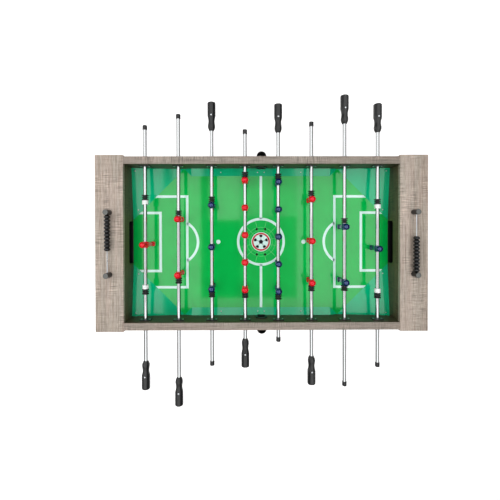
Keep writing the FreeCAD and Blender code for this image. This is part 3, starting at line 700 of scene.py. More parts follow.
@dataclass
class Field:
    """The printed field: green board, markings, centre badge, ramps, screws and goal liners.

    Attributes:
        line_mm: width of the white lines.
        circle_mm: radius of the centre circle's middle line.
        big_box_mm: distance of the penalty box's front line from the middle, and half width.
        small_box_mm: the same of the goal box.
        arc_mm: radius of the penalty arc and distance of its centre from the middle.
        spot_mm: distance of the penalty spots from the middle, and their radius.
        halfway_mm: distance of the halfway line's ends from the middle, under the ramps.
        tuck_mm: how far the boxes' side lines run in under the corner ramps.
        ray_rings_mm: radii of the two thin rings.
        rays_mm: where the rays start and end, measured from the middle.
        thin_mm: width of the rings, and of the rays and the ball's seams.
        badge_mm: radii of the badge's disc, red ring and ball.
        panel_mm: radius of the ball's middle panel, of the five outer ones, how far out
            these are, and the radius that trims them.
        seam_mm: where the ball's seams start and end, measured from the middle.
        dot_mm: place in X and Y and radius of the four dots round the badge.
        mouth_mm: width and height of the goals' openings, and the radius of their corners.
        screw_mm: places of the ramp screws in one quarter of the field.
        strip_mm: width of the side ramps.
        step_mm: thickness of one layer of ink as modelled.
    """

    line_mm: float = 11.5
    circle_mm: float = 104.0
    big_box_mm: tuple[float, float] = (336.5, 207.0)
    small_box_mm: tuple[float, float] = (458.0, 132.5)
    arc_mm: tuple[float, float] = (100.0, 387.5)
    spot_mm: tuple[float, float] = (194.7, 9.8)
    halfway_mm: float = 303.0
    tuck_mm: float = 12.0
    ray_rings_mm: tuple[float, float] = (52.0, 66.0)
    rays_mm: tuple[float, float] = (40.0, 95.0)
    thin_mm: tuple[float, float] = (1.6, 1.8)
    badge_mm: tuple[float, float, float] = (44.0, 41.0, 34.0)
    panel_mm: tuple[float, float, float, float] = (11.0, 8.5, 28.0, 33.0)
    seam_mm: tuple[float, float] = (10.0, 24.0)
    dot_mm: tuple[float, float, float] = (19.0, 58.0, 5.5)
    mouth_mm: tuple[float, float, float] = (190.0, 52.0, 2.5)
    screw_mm: tuple[tuple[float, float], ...] = ((566, 321), (558, 146), (182, 317), (15, 317))
    strip_mm: float = 33.0
    step_mm: float = 0.06

    def __post_init__(self) -> None:
        """Takes the field's top and the ramps' outlines from the frame, in metres."""
        self.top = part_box("playfield")[1][2]
        corner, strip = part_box("corner_ramps")[1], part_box("side_ramps")[1]
        self.corner = (corner[0], corner[1])
        self.rise = corner[2] - self.top
        self.strip_rise = strip[2] - self.top
        self.leg = corner[0] - strip[0]

    def stroke(self, path: Grid, width_mm: float, layer: int = 1,
               closed: bool = False) -> Surface:
        """A line of ink: a thin flat bar carried along a path on the field.

        At each point the bar reaches half its width to both sides along the path's normal,
        which at a corner is the mitre of the two runs' normals, lengthened so that the
        line keeps its width.

        Args:
            path: points (n, 2) in millimetres.
            width_mm: the line's width.
            layer: how many layers of ink it stands above the field.
            closed: whether the path is a loop.

        Returns:
            The line as a closed surface.
        """
        if closed:
            ahead = np.roll(path, -1, axis=0) - path
        else:
            ahead = np.diff(path, axis=0)
            ahead = np.vstack([ahead, ahead[-1:]])
        ahead = ahead / np.linalg.norm(ahead, axis=1, keepdims=True)
        behind = np.roll(ahead, 1, axis=0)
        if not closed:
            behind[0] = ahead[0]
        across = np.stack([-(ahead + behind)[:, 1], (ahead + behind)[:, 0]], axis=-1)
        across /= np.linalg.norm(across, axis=1, keepdims=True)
        own = np.stack([-ahead[:, 1], ahead[:, 0]], axis=-1)
        across /= (across * own).sum(axis=1, keepdims=True)
        reach = across * width_mm / 2
        ring = []
        for side, height in ((-1, -self.step_mm), (1, -self.step_mm),
                             (1, layer * self.step_mm), (-1, layer * self.step_mm)):
            flat = (path + side * reach) * MM
            ring.append(np.column_stack([flat, np.full(len(path), self.top + height * MM)]))
        return Surface(np.stack(ring, axis=1), loop_rows=closed)

    def patch(self, outline: Grid, layer: int) -> Surface:
        """A filled shape of ink: the outline carried up through the layer's thickness.

        Args:
            outline: points (n, 2) in millimetres, round a convex shape.
            layer: how many layers of ink it stands above the field.

        Returns:
            The patch as a closed surface.
        """
        heights = (-self.step_mm, layer * self.step_mm)
        rows = [np.column_stack([outline * MM, np.full(len(outline), self.top + h * MM)])
                for h in heights]
        return Surface(np.stack(rows))

    @staticmethod
    def arc(radius: float, low: float, high: float, count: int,
            centre: Sequence[float] = (0.0, 0.0)) -> Grid:
        """Points on an arc: (radius cos t, radius sin t) from the centre at angle t.

        Args:
            radius: the arc's radius in millimetres.
            low: its first angle in degrees.
            high: its last angle.
            count: how many points.
            centre: its centre.

        Returns:
            The points (count, 2).
        """
        angle = np.radians(np.linspace(low, high, count))
        return np.stack([centre[0] + radius * np.cos(angle),
                         centre[1] + radius * np.sin(angle)], axis=-1)

    def circle(self, radius: float, count: int = 64, centre: Sequence[float] = (0.0, 0.0),
               start: float = 0.0) -> Grid:
        """Points (count, 2) round a whole circle, from an angle in degrees."""
        return self.arc(radius, start, start + 360, count + 1, centre)[:-1]

    def edge_x(self, y_mm: float) -> float:
        """Where a line at this distance across the field ends, under a corner ramp."""
        return (self.corner[0] + self.corner[1] - self.leg) / MM - abs(y_mm) + self.tuck_mm

    def build(self) -> None:
        """Lays the markings, the badge, the ramp screws and the goals' liners."""
        dress_node("playfield", FIELD_FILM)
        dress_node("corner_ramps", RAMP_ABS)
        dress_node("side_ramps", RAMP_ABS)
        self.lay("field_lines", self.line_work(), LINE_INK)
        self.lay("field_rays", self.rays(), PALE_INK)
        self.badge()
        self.ramp_screws()
        liners = [self.goal_liner("left", -1), self.goal_liner("right", 1)]
        self.lay("goal_liners", liners, BLACK_ABS)

    @staticmethod
    def lay(name: str, surfaces: Sequence[Surface], finish: Finish) -> None:
        """Makes one ink, or one set of fittings, and fixes it to the cabinet."""
        add_piece(name, surfaces, finish, "cabinet")

    def line_work(self) -> list[Surface]:
        """All white lines: halfway line, centre circle, boxes, arcs and spots.

        Returns:
            The lines.
        """
        width = self.line_mm
        lines = [self.stroke(self.circle(self.circle_mm, 128), width, closed=True)]
        for way in (-1, 1):
            half_line = np.array([[0, way * self.circle_mm], [0, way * self.halfway_mm]])
            lines.append(self.stroke(half_line, width))
            for front, half in (self.big_box_mm, self.small_box_mm):
                end = self.edge_x(half)
                box = np.array([[way * end, -half], [way * front, -half],
                                [way * front, half], [way * end, half]])
                lines.append(self.stroke(box, width))
            radius, centre = self.arc_mm
            reach = math.degrees(math.acos((centre - self.big_box_mm[0]) / radius))
            bow = self.arc(radius, 180 - reach, 180 + reach, 33, (centre, 0))
            lines.append(self.stroke(bow * [way, 1], width))
            away, spot = self.spot_mm
            lines.append(self.patch(self.circle(spot, 32, (way * away, 0)), 1))
        return lines

    def rays(self) -> list[Surface]:
        """Thin pale rays and rings inside the centre circle.

        Returns:
            The rings and a ray every 30 degrees.
        """
        ring_width, ray_width = self.thin_mm
        rings = [self.stroke(self.circle(radius, 96), ring_width, closed=True)
                 for radius in self.ray_rings_mm]
        return rings + [self.stroke(np.outer(self.rays_mm, way), ray_width)
                        for way in self.circle(1.0, 12, start=15)]

    def badge(self) -> None:
        """A plain round badge: a red ring round a football of black and white panels."""
        inks = (("disc", LINE_INK), ("ring", RED_INK), ("ball", LINE_INK))
        for layer, (radius, (part, ink)) in enumerate(zip(self.badge_mm, inks), start=2):
            self.lay(f"badge_{part}", [self.patch(self.circle(radius), layer)], ink)
        middle, outer, away, trim = self.panel_mm
        marks = [self.patch(self.circle(middle, 5, start=90), 5)]
        for facing, along in zip(range(90, 450, 72), self.circle(1.0, 5, start=90)):
            marks.append(self.stroke(np.outer(self.seam_mm, along), self.thin_mm[1], 5))
            panel = self.circle(outer, 5, away * along, facing)
            reach = np.linalg.norm(panel, axis=1, keepdims=True)
            marks.append(self.patch(panel * np.minimum(1, trim / reach), 5))
        x, y, radius = self.dot_mm
        dots = [self.patch(self.circle(radius, 24, (sx * x, sy * y)), 1)
                for sx in (-1, 1) for sy in (-1, 1)]
        self.lay("badge_marks", marks + dots, DARK_INK)

    def goal_liner(self, side: str, way: int) -> Surface:
        """The black moulding that lines a goal's opening.

        A thin section is carried round the opening. Where the path point is p and its
        inward normal n, the section's point (u, v) lies u through the wall and at p + v n.
        The path is a rectangle whose corners are quarter circles.

        Args:
            side: left or right.
            way: the outward direction along X.

        Returns:
            The liner.
        """
        low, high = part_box(f"goal_wall_{side}")
        thick = (high[0] - low[0]) / MM
        inner = low[0] if way > 0 else high[0]
        width, height, corner = self.mouth_mm
        angle = np.radians(np.concatenate([np.linspace(0, 90, 5) + 90 * k for k in range(4)]))
        quadrant = np.repeat(np.radians([45, 135, 225, 315]), 5)
        round_part = np.stack([np.cos(angle), np.sin(angle)], axis=-1)
        signs = np.sign(np.stack([np.cos(quadrant), np.sin(quadrant)], axis=-1))
        reach = np.array([width, height]) / 2 - corner
        path = signs * reach + corner * round_part + [0, self.top / MM + height / 2]
        section = np.array([(0, 0.05), (thick, 0.05), (thick, 0.7), (thick - 0.5, 0.9),
                            (0.5, 0.9), (0, 0.7)])
        flat = path[:, None, :] - section[None, :, 1:] * round_part[:, None, :]
        depth = np.broadcast_to(inner + way * section[None, :, 0] * MM, flat.shape[:2])
        return Surface(np.concatenate([depth[..., None], flat * MM], axis=-1), loop_rows=True)

    def ramp_height(self, x: float, y: float) -> float:
        """Height of the ramps above the field: a corner's slope or a side strip's.

        Args:
            x: place along X, in metres.
            y: place along Y.

        Returns:
            The height in metres.
        """
        gap_x, gap_y = self.corner[0] - abs(x), self.corner[1] - abs(y)
        strip_width = self.strip_mm * MM
        corner = self.rise * max(0.0, 1 - (gap_x + gap_y) / self.leg)
        beside = abs(x) < self.corner[0] - self.leg - strip_width
        strip = self.strip_rise * max(0.0, 1 - gap_y / strip_width) if beside else 0.0
        return max(corner, strip)

    def ramp_screws(self) -> None:
        """Small countersunk screws that hold the ramps, their heads just proud."""
        spots = [(sx * x * MM, sy * y * MM) for sx in (-1, 1) for sy in (-1, 1)
                 for x, y in self.screw_mm]
        head = [(0.01, -1.0), (2.8, -1.0), (2.8, 0.3), (2.0, 0.9), (0.7, 1.1), (0.01, 1.1)]
        heads = [turned(head, (x, y, self.top + self.ramp_height(x, y)), columns=16)
                 for x, y in spots]
        self.lay("ramp_screws", heads, ZINC)


# ---- rods


@dataclass
class Figure:
    """One moulded player standing on its rod, in millimetres about the rod's axis.

    The trunk is a stack of superellipses: at height z the outline is
    x = a |cos t|^(2/n), y = b |sin t|^(2/n), each with the sign of its cosine or sine.

    Attributes:
        stations: height, half depth a, half width b and squareness n from foot to neck.
        head: centre height, then the radii along X, Y and Z.
        face_mm: how far the nose, the chin and the hair stand out.
        arm_mm: radius at the shoulder, how much thinner the wrist is, and the rise of
            the fist.
        columns: points round the trunk.
    """

    stations: tuple[tuple[float, float, float, float], ...] = (
        (-69.0, 7.6, 9.6, 5.0), (-68.0, 8.8, 10.8, 5.0), (-57.5, 9.0, 11.0, 5.0),
        (-55.5, 7.2, 9.8, 4.0), (-52.0, 5.6, 8.6, 3.2), (-44.0, 5.4, 8.4, 3.0),
        (-34.0, 6.4, 9.0, 2.8), (-28.0, 6.8, 9.4, 2.8), (-27.0, 8.4, 10.8, 2.8),
        (-18.0, 9.4, 11.4, 2.6), (-10.0, 10.6, 11.8, 2.5), (0.0, 10.8, 11.0, 2.4),
        (6.0, 10.2, 10.4, 2.4), (10.0, 10.0, 11.8, 2.3), (12.5, 8.4, 11.0, 2.2),
        (14.0, 6.0, 7.0, 2.0), (15.5, 5.4, 5.6, 2.0),
    )
    head: tuple[float, float, float, float] = (21.5, 14.6, 13.7, 13.2)
    face_mm: tuple[float, float, float] = (1.5, 0.5, 0.7)
    arm_mm: tuple[float, float, float] = (3.1, 0.7, 0.7)
    columns: int = 32

    def trunk(self) -> Surface:
        """Feet, legs, shorts and shirt as one loft, with the groove between the legs.

        The groove narrows the loft front and back by a bell curve of y, 0.3 deep, which
        fades out over 4 mm at the shorts and at the foot.

        Returns:
            The trunk, in millimetres.
        """
        z, depth, width, power = (np.array(column) for column in zip(*self.stations))
        rows = np.concatenate([np.linspace(low, high, 4, endpoint=False)
                               for low, high in zip(z[:-1], z[1:])] + [z[-1:]])
        a, b, n = (np.interp(rows, z, values)[:, None] for values in (depth, width, power))
        angle = round_angles(self.columns)
        cosine, sine = np.cos(angle), np.sin(angle)
        x = a * np.sign(cosine) * np.abs(cosine) ** (2 / n)
        y = b * np.sign(sine) * np.abs(sine) ** (2 / n)
        height = rows[:, None] + 0 * angle
        leg = np.clip((-27.5 - height) / 4, 0, 1) * np.clip((height + 66) / 4, 0, 1)
        x = x * (1 - 0.30 * leg * np.exp(-(y / 1.9) ** 2))
        return Surface(np.stack([x, y, height], axis=-1))

    def skull(self) -> Surface:
        """The head: an ellipsoid with a nose, a chin and a cap of hair.

        The nose and chin are bell-shaped rises at the front. The hair is an even swelling
        over the top and back, with a soft edge.

        Returns:
            The head, in millimetres.
        """
        middle, rx, ry, rz = self.head
        lift = np.linspace(-math.pi / 2 + 0.06, math.pi / 2 - 0.06, 24)[:, None]
        angle = round_angles(self.columns)
        front = np.cos(lift) * np.cos(angle)
        side = np.cos(lift) * np.sin(angle)
        up = np.sin(lift) + 0 * angle
        nose_rise, chin_rise, hair_rise = self.face_mm
        nose = nose_rise * np.exp(-(side / 0.16) ** 2 - ((up + 0.05) / 0.2) ** 2) * (front > 0)
        chin = chin_rise * np.exp(-(side / 0.35) ** 2 - ((up + 0.62) / 0.2) ** 2) * (front > 0)
        hair = 1 / (1 + np.exp(-((up - 0.25) + np.clip(-front, 0, 1) * 0.8) / 0.06))
        grow = 1 + hair_rise / 14 * hair
        points = np.stack([rx * front * grow + nose + chin, ry * side * grow,
                           middle + rz * up * grow], axis=-1)
        return Surface(points)

    def arm(self, side: int) -> Surface:
        """An arm along the body: circles carried down from the shoulder to the fist.

        Both ends close in as a superellipse of the part of the way down, and the fist is a
        bell-shaped rise near the lower one.

        Args:
            side: 1 or -1, the side along Y.

        Returns:
            The arm, in millimetres.
        """
        part = np.linspace(0, 1, 15)[:, None]
        angle = round_angles(14)
        shoulder, taper, fist = self.arm_mm
        radius = shoulder - taper * part + fist * np.exp(-((part - 0.93) / 0.06) ** 2)
        radius = radius * np.sqrt(np.clip(1 - (2 * part - 1) ** 10, 0.02, 1))
        x = radius * np.cos(angle) + 1.2 * part ** 2
        y = side * (10.6 + 0.2 * np.sin(math.pi * part)) + radius * np.sin(angle) * 0.95
        z = 11.8 - 23.0 * part + 0 * angle
        return Surface(np.stack([x, y, z], axis=-1))

    def moulded(self) -> list[Surface]:
        """The figure's surfaces: trunk, head, arms and the barrel round the rod.

        Returns:
            The surfaces, in metres about the rod's axis.
        """
        barrel = turned([(8.0, -13.4), (11.2, -13.4), (12.0, -12.4), (12.2, -4.0),
                         (12.2, 4.0), (12.0, 12.4), (11.2, 13.4), (8.0, 13.4)],
                        (0, 0, 0), Axis.Y, hollow=True)
        shapes = [self.trunk(), self.skull(), self.arm(1), self.arm(-1)]
        return [Surface(shape.points * MM) for shape in shapes] + [barrel]

    def screw(self) -> Surface:
        """The screw head in the small of the back."""
        return turned([(0.01, 10.6), (2.4, 10.6), (2.4, 12.9), (1.8, 13.3), (0.01, 13.3)],
                      (0, 0, 0), Axis.X, -1, 14)

    @staticmethod
    def stand(surface: Surface, facing: int, lean: float, place: Sequence[float]) -> Surface:
        """Turns a surface to its side, leans it about Y and puts it on the rod.

        Args:
            surface: a surface about the rod's axis.
            facing: 1 to face +X, -1 to face -X.
            lean: degrees by which the feet swing towards +X.
            place: the player's place on the rod's axis.

        Returns:
            The placed surface.
        """
        turn = math.radians(lean)
        half = np.array([[facing, 0, 0], [0, facing, 0], [0, 0, 1]])
        swing = np.array([[math.cos(turn), 0, -math.sin(turn)], [0, 1, 0],
                          [math.sin(turn), 0, math.cos(turn)]])
        points = surface.points @ (swing @ half).T + np.array(place)
        return Surface(points, surface.loop_rows, surface.capped)


@dataclass
class Rod:
    """One rod: shaft, players, grip, end cap, bumpers and, on a goalie rod, stop collars.

    Attributes:
        number: 1 to 8 along X.
        players: how many players it has.
        team: its side.
        lean: how far the players' feet swing towards +X, in degrees.
        shaft_mm: radius of the shaft and of its bore.
        figure_mm: half the width that a player takes up in its CAD node.
        flats: how square the grip's octagon is; less gives rounder corners.
        rivet_mm: distance of the grip's rivets from its outer end.
        cap_mm: radius and length of the end cap.
        bumper_mm: bore and length of a bumper.
        ridges_mm: start and radius of each ridge of a bumper.
        collar_mm: radius, length and bore of a stop collar.
        grip_profile: radius of the grip across two flats, and distance from its outer end.
    """

    number: int
    players: int
    team: Team
    lean: float
    shaft_mm: tuple[float, float] = (7.95, 5.95)
    figure_mm: float = 14.0
    flats: float = 26.0
    rivet_mm: float = 57.0
    cap_mm: tuple[float, float] = (9.8, 20.0)
    bumper_mm: tuple[float, float] = (8.05, 22.0)
    ridges_mm: tuple[tuple[float, float], ...] = ((0.0, 14.4), (8.8, 14.0), (17.6, 14.4))
    collar_mm: tuple[float, float, float] = (13.0, 18.0, 8.0)
    grip_profile: tuple[tuple[float, float], ...] = (
        (10.5, 0), (13, 0.4), (15, 1.2), (16.3, 2.4), (16.9, 4), (17, 8), (17, 20), (17, 40),
        (17, 54), (16.9, 58), (15.9, 64), (14.4, 70), (13.4, 76), (13.2, 80), (13.4, 86),
        (14.2, 92), (15.1, 98), (15.4, 102), (15.2, 107), (14.6, 111), (13.4, 115),
        (12.1, 118), (10.9, 120.5), (9.6, 122.4), (8.6, 123),
    )

    def __post_init__(self) -> None:
        """Takes the rod's axis, and the ends of its shaft and grip, from the frame."""
        self.body = f"rod_{self.number}"
        low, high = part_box(f"{self.body}_tube")
        self.x, self.z = (low[0] + high[0]) / 2, (low[2] + high[2]) / 2
        self.low, self.high = low[1], high[1]
        self.side = -self.team.value
        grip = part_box(f"{self.body}_grip")
        self.grip_end, self.cap_end = (grip[1][1], grip[0][1])[::self.side]

    def at(self, y: float) -> tuple[float, float, float]:
        """A point on the rod's axis."""
        return (self.x, y, self.z)

    def build(self) -> None:
        """Makes every piece of the rod."""
        self.shaft()
        self.line_up()
        self.grip()
        self.end_cap()
        self.bumpers()
        if self.players == 1:
            self.collars()

    def make(self, piece: str, surfaces: Sequence[Surface], finish: Finish, *nodes: str,
             sharp_degrees: float = 35.0) -> None:
        """Makes one piece that turns with the rod."""
        add_piece(f"{self.body}_{piece}", surfaces, finish, self.body, *nodes,
                  sharp_degrees=sharp_degrees)

    def pair(self, node: str, profile: Sequence[tuple[float, float]]) -> list[Surface]:
        """The same ring at both ends of a CAD node, turned about the rod.

        Args:
            node: the CAD node.
            profile: the ring's closed profile, from its outer face inwards.

        Returns:
            The two rings.
        """
        low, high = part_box(node)
        return [turned(profile, self.at(end), Axis.Y, way, 40, hollow=True)
                for end, way in ((low[1], 1), (high[1], -1))]

    def shaft(self) -> None:
        """The plated tube, with its ends eased."""
        radius, bore = self.shaft_mm
        profile = rounded(radius, 0, (self.high - self.low) / MM, 0.6, inner=bore)
        tube = turned(profile, self.at(self.low), Axis.Y, columns=48, hollow=True)
        self.make("shaft", [tube], CHROME, f"{self.body}_tube")

    def line_up(self) -> None:
        """The players, evenly spaced between the two outer ones."""
        node = f"{self.body}_players"
        low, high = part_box(node)
        edge = self.figure_mm * MM
        spots = np.linspace(low[1] + edge, high[1] - edge, self.players)
        if self.players == 1:
            spots = [(low[1] + high[1]) / 2]
        figure = Figure()
        finish = RED_ABS if self.team is Team.RED else BLUE_ABS
        bodies, screws = ([figure.stand(shape, self.team.value, self.lean, self.at(y))
                           for y in spots for shape in shapes]
                          for shapes in (figure.moulded(), [figure.screw()]))
        self.make("figures", bodies, finish, node, sharp_degrees=40)
        self.make("figure_screws", screws, ZINC)

    def grip(self) -> None:
        """The grip: a rounded octagon carried along Y, with a waist for the fingers.

        Its outline at angle t is r (sum over the four pairs of flats of |cos(t - k)|^p)^(-1/p),
        an octagon whose corners are rounder for a smaller p, and r follows the profile. The
        last stretch turns into a circle.
        """
        round_from, round_over = 108, 12
        r, s = (np.array(column) for column in zip(*self.grip_profile))
        fine = np.concatenate([np.linspace(a, b, 3, endpoint=False)
                               for a, b in zip(s[:-1], s[1:])] + [s[-1:]])
        radius = np.interp(fine, s, r)[:, None] * MM
        angle = round_angles(64)
        total = sum(np.abs(np.cos(angle - k * math.pi / 4)) ** self.flats for k in range(4))
        octagon = (total / total[0, 0]) ** (-1 / self.flats)
        round_end = np.clip((fine - round_from) / round_over, 0, 1)[:, None]
        shape = radius * (octagon * (1 - round_end) + round_end)
        y = self.grip_end - self.side * fine[:, None] * MM + 0 * angle
        body = Surface(np.stack([self.x + shape * np.cos(angle), y,
                                 self.z + shape * np.sin(angle)], axis=-1))
        self.make("handle", [body], BLACK_ABS, f"{self.body}_grip", sharp_degrees=28)
        head = [(0.01, 15.5), (3.6, 15.5), (3.6, 17.2), (3.0, 17.7), (1.4, 17.9), (0.01, 17.9)]
        place = self.at(self.grip_end - self.side * self.rivet_mm * MM)
        self.make("rivets", [turned(head, place, Axis.Z, way, 20) for way in (-1, 1)], ZINC)

    def end_cap(self) -> None:
        """The push-on cap at the far end."""
        radius, length = self.cap_mm
        cap = turned(rounded(radius, 0, length, 2.2), self.at(self.cap_end), Axis.Y, self.side)
        self.make("cap", [cap], BLACK_ABS)

    def bumpers(self) -> None:
        """Ridged rubber bumpers outside the players. They slide with the rod, but don't turn."""
        node = f"{self.body}_bumpers"
        bore, length = self.bumper_mm
        ridges = [(radius, start + along) for start, outer in self.ridges_mm
                  for radius, along in ((9.0, 0.0), (outer - 0.5, 0.1), (outer, 0.7),
                                        (outer, 3.6), (outer - 0.5, 4.2), (9.0, 4.3))]
        add_piece(f"{self.body}_rubbers", self.pair(node, [(bore, 0), *ridges, (bore, length)]),
                  BLACK_RUBBER, node, node, sharp_degrees=50)

    def collars(self) -> None:
        """White stop collars beside the goalie's bumpers."""
        node = f"{self.body}_stop_collars"
        radius, length, bore = self.collar_mm
        profile = rounded(radius, 0, length, 1.6, inner=bore)
        self.make("collars", self.pair(node, profile), WHITE_NYLON, node)


# ---- bead counters


@dataclass
class BeadCounters:
    """The scorers on the end caps: posts with grey tops, wires and ribbed beads.

    Attributes:
        post_mm: radius and height of a post.
        bead_mm: pitch, largest and smallest radius of a bead.
        wire_mm: the wire's radius.
        beads: how many on each wire.
        foot_mm: radius of a CAD post's foot, which its node's box reaches out by.
    """

    post_mm: tuple[float, float] = (11.4, 38.6)
    bead_mm: tuple[float, float, float] = (14.8, 13.2, 7.8)
    wire_mm: float = 2.5
    beads: int = 10
    foot_mm: float = 11.5

    def build(self) -> None:
        """Makes posts, tops, wires and both rows of beads."""
        low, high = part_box("score_posts")
        wire_low, wire_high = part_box("score_wires")
        edge = self.foot_mm * MM
        places = [(x, y, low[2]) for x in (low[0] + edge, high[0] - edge)
                  for y in (low[1] + edge, high[1] - edge)]
        radius, height = self.post_mm
        posts = [turned(rounded(radius, 0, height, 0.8), place) for place in places]
        add_piece("counter_posts", posts, BLACK_ABS, "cabinet", "score_posts")
        top = [(r, height + rise) for r, rise in (
            (0.01, -0.5), (10.6, -0.5), (10.6, 1.0), (10.0, 1.4), (6.6, 1.4), (6.2, 0.8),
            (5.0, 0.8), (4.6, 1.3), (0.01, 1.4))]
        tops = [turned(top, place) for place in places]
        add_piece("counter_tops", tops, GREY_ABS, "cabinet")
        level = (wire_low[2] + wire_high[2]) / 2
        span = (wire_high[1] - wire_low[1]) / MM
        wires = [turned(rounded(self.wire_mm, 0, span, 0.5), (x, wire_low[1], level), Axis.Y,
                        columns=20) for x in (places[0][0], places[-1][0])]
        add_piece("counter_wires", wires, ZINC, "cabinet", "score_wires")
        for side in ("left", "right"):
            self.row(side, level)

    def row(self, side: str, level: float) -> None:
        """One row of beads: each bulges as a sine, to a power, between its narrow ends.

        Args:
            side: left or right.
            level: height of the wire's axis, in metres.
        """
        node = f"score_beads_{side}"
        low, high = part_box(node)
        pitch, large, small = self.bead_mm
        gap, slope = 0.1, 1.1
        bore = self.wire_mm + 0.05
        part = np.linspace(0, 1, 13)
        bulge = small + (large - small) * np.sin(math.pi * part) ** slope
        profile = [(bore, gap), *zip(bulge, gap + part * (pitch - 2 * gap)), (bore, pitch - gap)]
        x = (low[0] + high[0]) / 2
        rings = [turned(profile, (x, low[1] + (k * pitch - gap) * MM, level), Axis.Y,
                        columns=28, hollow=True) for k in range(self.beads)]
        add_piece(f"counter_beads_{side}", rings, BEAD_ABS, node, node, sharp_degrees=60)


# ---- studio


@dataclass(frozen=True)
class Softbox:
    """One flat light on the ceiling: its corners and its strength.

    Attributes:
        low: lower corner, X and Y, in metres.
        high: upper corner.
        share: part of the studio's full radiance.
    """

    low: tuple[float, float]
    high: tuple[float, float]
    share: float = 1.0


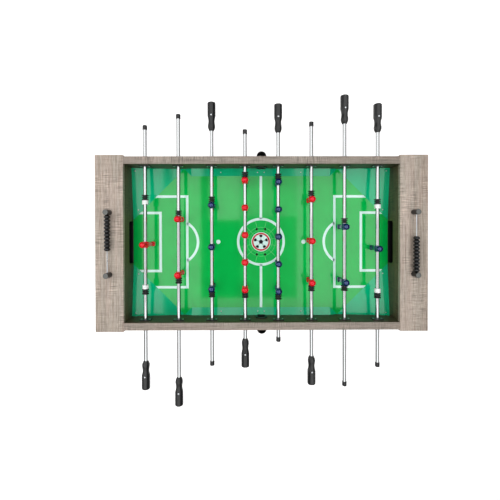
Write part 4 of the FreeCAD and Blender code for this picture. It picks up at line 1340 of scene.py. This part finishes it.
@dataclass
class Studio:
    """Pale floor, overhead softboxes with a dim gap between them, and the camera.

    Attributes:
        ceiling: height of the softboxes.
        panels: the softboxes.
        lamp_place: middle of the standing light on the left, in metres.
        lamp_size: its width; it is twice as long.
        lamp_tilt: its turn about Y in degrees.
        lamp_share: part of the studio's full radiance.
        glow: radiance of a full softbox.
        eye: the camera's place.
        turn_degrees: its small tilts off straight down.
        lens_mm: focal length.
        sensor_mm: width of the sensor.
        shift: vertical shift of the frame.
        floor_size: side of the floor.
        floor_glow: the floor's own light near the table and far off.
        floor_fade: distances from the middle between which it changes.
    """

    ceiling: float = 2.9
    panels: tuple[Softbox, ...] = (
        Softbox((-2.0, -2.4), (-0.60, 2.4)), Softbox((0.50, -2.4), (2.0, 2.4)),
        Softbox((-0.50, 0.13), (-0.15, 2.4)), Softbox((-0.15, 0.17), (0.50, 2.4), 0.6),
        Softbox((-0.60, -2.4), (0.50, -0.76), 0.75), Softbox((-0.15, -0.76), (0.50, 0.17), 0.12),
    )
    lamp_place: tuple[float, float, float] = (-2.7, 0.3, 1.9)
    lamp_size: float = 1.4
    lamp_tilt: float = -65.0
    lamp_share: float = 0.8
    glow: float = 2.16
    eye: tuple[float, float, float] = (-0.0585, 0.0789, 2.1784)
    turn_degrees: tuple[float, float, float] = (-0.475, -0.348, -0.11)
    lens_mm: float = 22.59
    sensor_mm: float = 36.0
    shift: float = -0.0457
    floor_size: float = 40.0
    floor_glow: tuple[float, float] = (0.6, 0.08)
    floor_fade: tuple[float, float] = (2.4, 4.2)

    def build(self) -> None:
        """Makes the floor, the world, the lights and the camera."""
        self.floor()
        self.world()
        for k, panel in enumerate(self.panels):
            size = (panel.high[0] - panel.low[0], panel.high[1] - panel.low[1])
            middle = ((panel.low[0] + panel.high[0]) / 2, (panel.low[1] + panel.high[1]) / 2)
            self.softbox(f"softbox_{k}", (*middle, self.ceiling), size, panel.share)
        lamp = self.softbox("softbox_left", self.lamp_place,
                            (self.lamp_size, 2 * self.lamp_size), self.lamp_share)
        lamp.rotation_euler = Euler((0, math.radians(self.lamp_tilt), 0))
        self.camera()
        bpy.context.scene.view_settings.view_transform = "Standard"

    def floor(self) -> None:
        """A wide pale floor that glows like a white sweep near the table and fades far off."""
        bpy.ops.mesh.primitive_plane_add(size=self.floor_size, location=(0, 0, 0))
        floor = bpy.context.object
        floor.name = "floor"
        material = bpy.data.materials.new("white_sweep")
        material.use_nodes = True
        tree = material.node_tree
        shader = tree.nodes["Principled BSDF"]
        shader.inputs["Base Color"].default_value = linear("#F6F6F6")
        shader.inputs["Roughness"].default_value = 0.9
        shader.inputs["Emission Color"].default_value = (1, 1, 1, 1)
        coords = add_node(tree, "ShaderNodeTexCoord")
        far = add_node(tree, "ShaderNodeVectorMath", {0: coords.outputs["Object"]},
                       operation="LENGTH")
        glow = add_node(tree, "ShaderNodeMapRange", {
            "Value": far.outputs["Value"], "From Min": self.floor_fade[0],
            "From Max": self.floor_fade[1], "To Min": self.floor_glow[0],
            "To Max": self.floor_glow[1]})
        tree.links.new(glow.outputs["Result"], shader.inputs["Emission Strength"])
        floor.data.materials.append(material)

    def world(self) -> None:
        """Dim studio walls: paler overhead, darker towards the horizon."""
        world = bpy.data.worlds.new("studio")
        bpy.context.scene.world = world
        world.use_nodes = True
        tree = world.node_tree
        coords = add_node(tree, "ShaderNodeTexCoord")
        parts = add_node(tree, "ShaderNodeSeparateXYZ", {0: coords.outputs["Generated"]})
        shade = add_node(tree, "ShaderNodeValToRGB", {"Fac": parts.outputs["Z"]}, stops=[
            (0.0, "#6A6A6A"), (0.25, "#323232"), (0.8, "#4C4C4C")])
        tree.links.new(shade.outputs["Color"], tree.nodes["Background"].inputs["Color"])

    def softbox(self, name: str, place: Sequence[float], size: tuple[float, float],
                share: float) -> bpy.types.Object:
        """Makes one flat light that faces down.

        Its power is radiance times pi times area, as an area light spreads it.

        Args:
            name: the light's name.
            place: its middle.
            size: its two sides.
            share: part of the studio's full radiance.

        Returns:
            The lamp.
        """
        light = bpy.data.lights.new(name, "AREA")
        light.shape = "RECTANGLE"
        light.size, light.size_y = size
        light.energy = self.glow * share * math.pi * size[0] * size[1]
        lamp = bpy.data.objects.new(name, light)
        lamp.location = place
        bpy.context.scene.collection.objects.link(lamp)
        return lamp

    def camera(self) -> None:
        """The camera above the table, looking almost straight down."""
        data = bpy.data.cameras.new("overhead")
        data.lens = self.lens_mm
        data.sensor_width = self.sensor_mm
        data.shift_y = self.shift
        camera = bpy.data.objects.new("overhead", data)
        camera.location = self.eye
        camera.rotation_euler = Euler([math.radians(a) for a in self.turn_degrees])
        bpy.context.scene.collection.objects.link(camera)
        bpy.context.scene.camera = camera


# ---- build


RODS = (
    Rod(1, 1, Team.RED, 13), Rod(2, 2, Team.RED, 1), Rod(3, 3, Team.BLUE, 0),
    Rod(4, 5, Team.RED, 0), Rod(5, 5, Team.BLUE, 0), Rod(6, 3, Team.RED, 0),
    Rod(7, 2, Team.BLUE, -3), Rod(8, 1, Team.BLUE, 0),
)


def main() -> None:
    cabinet = Cabinet()
    cabinet.build()
    cabinet.dress()
    Field().build()
    for rod in RODS:
        rod.build()
    BeadCounters().build()
    Studio().build()


if __name__ == "__main__":
    main()
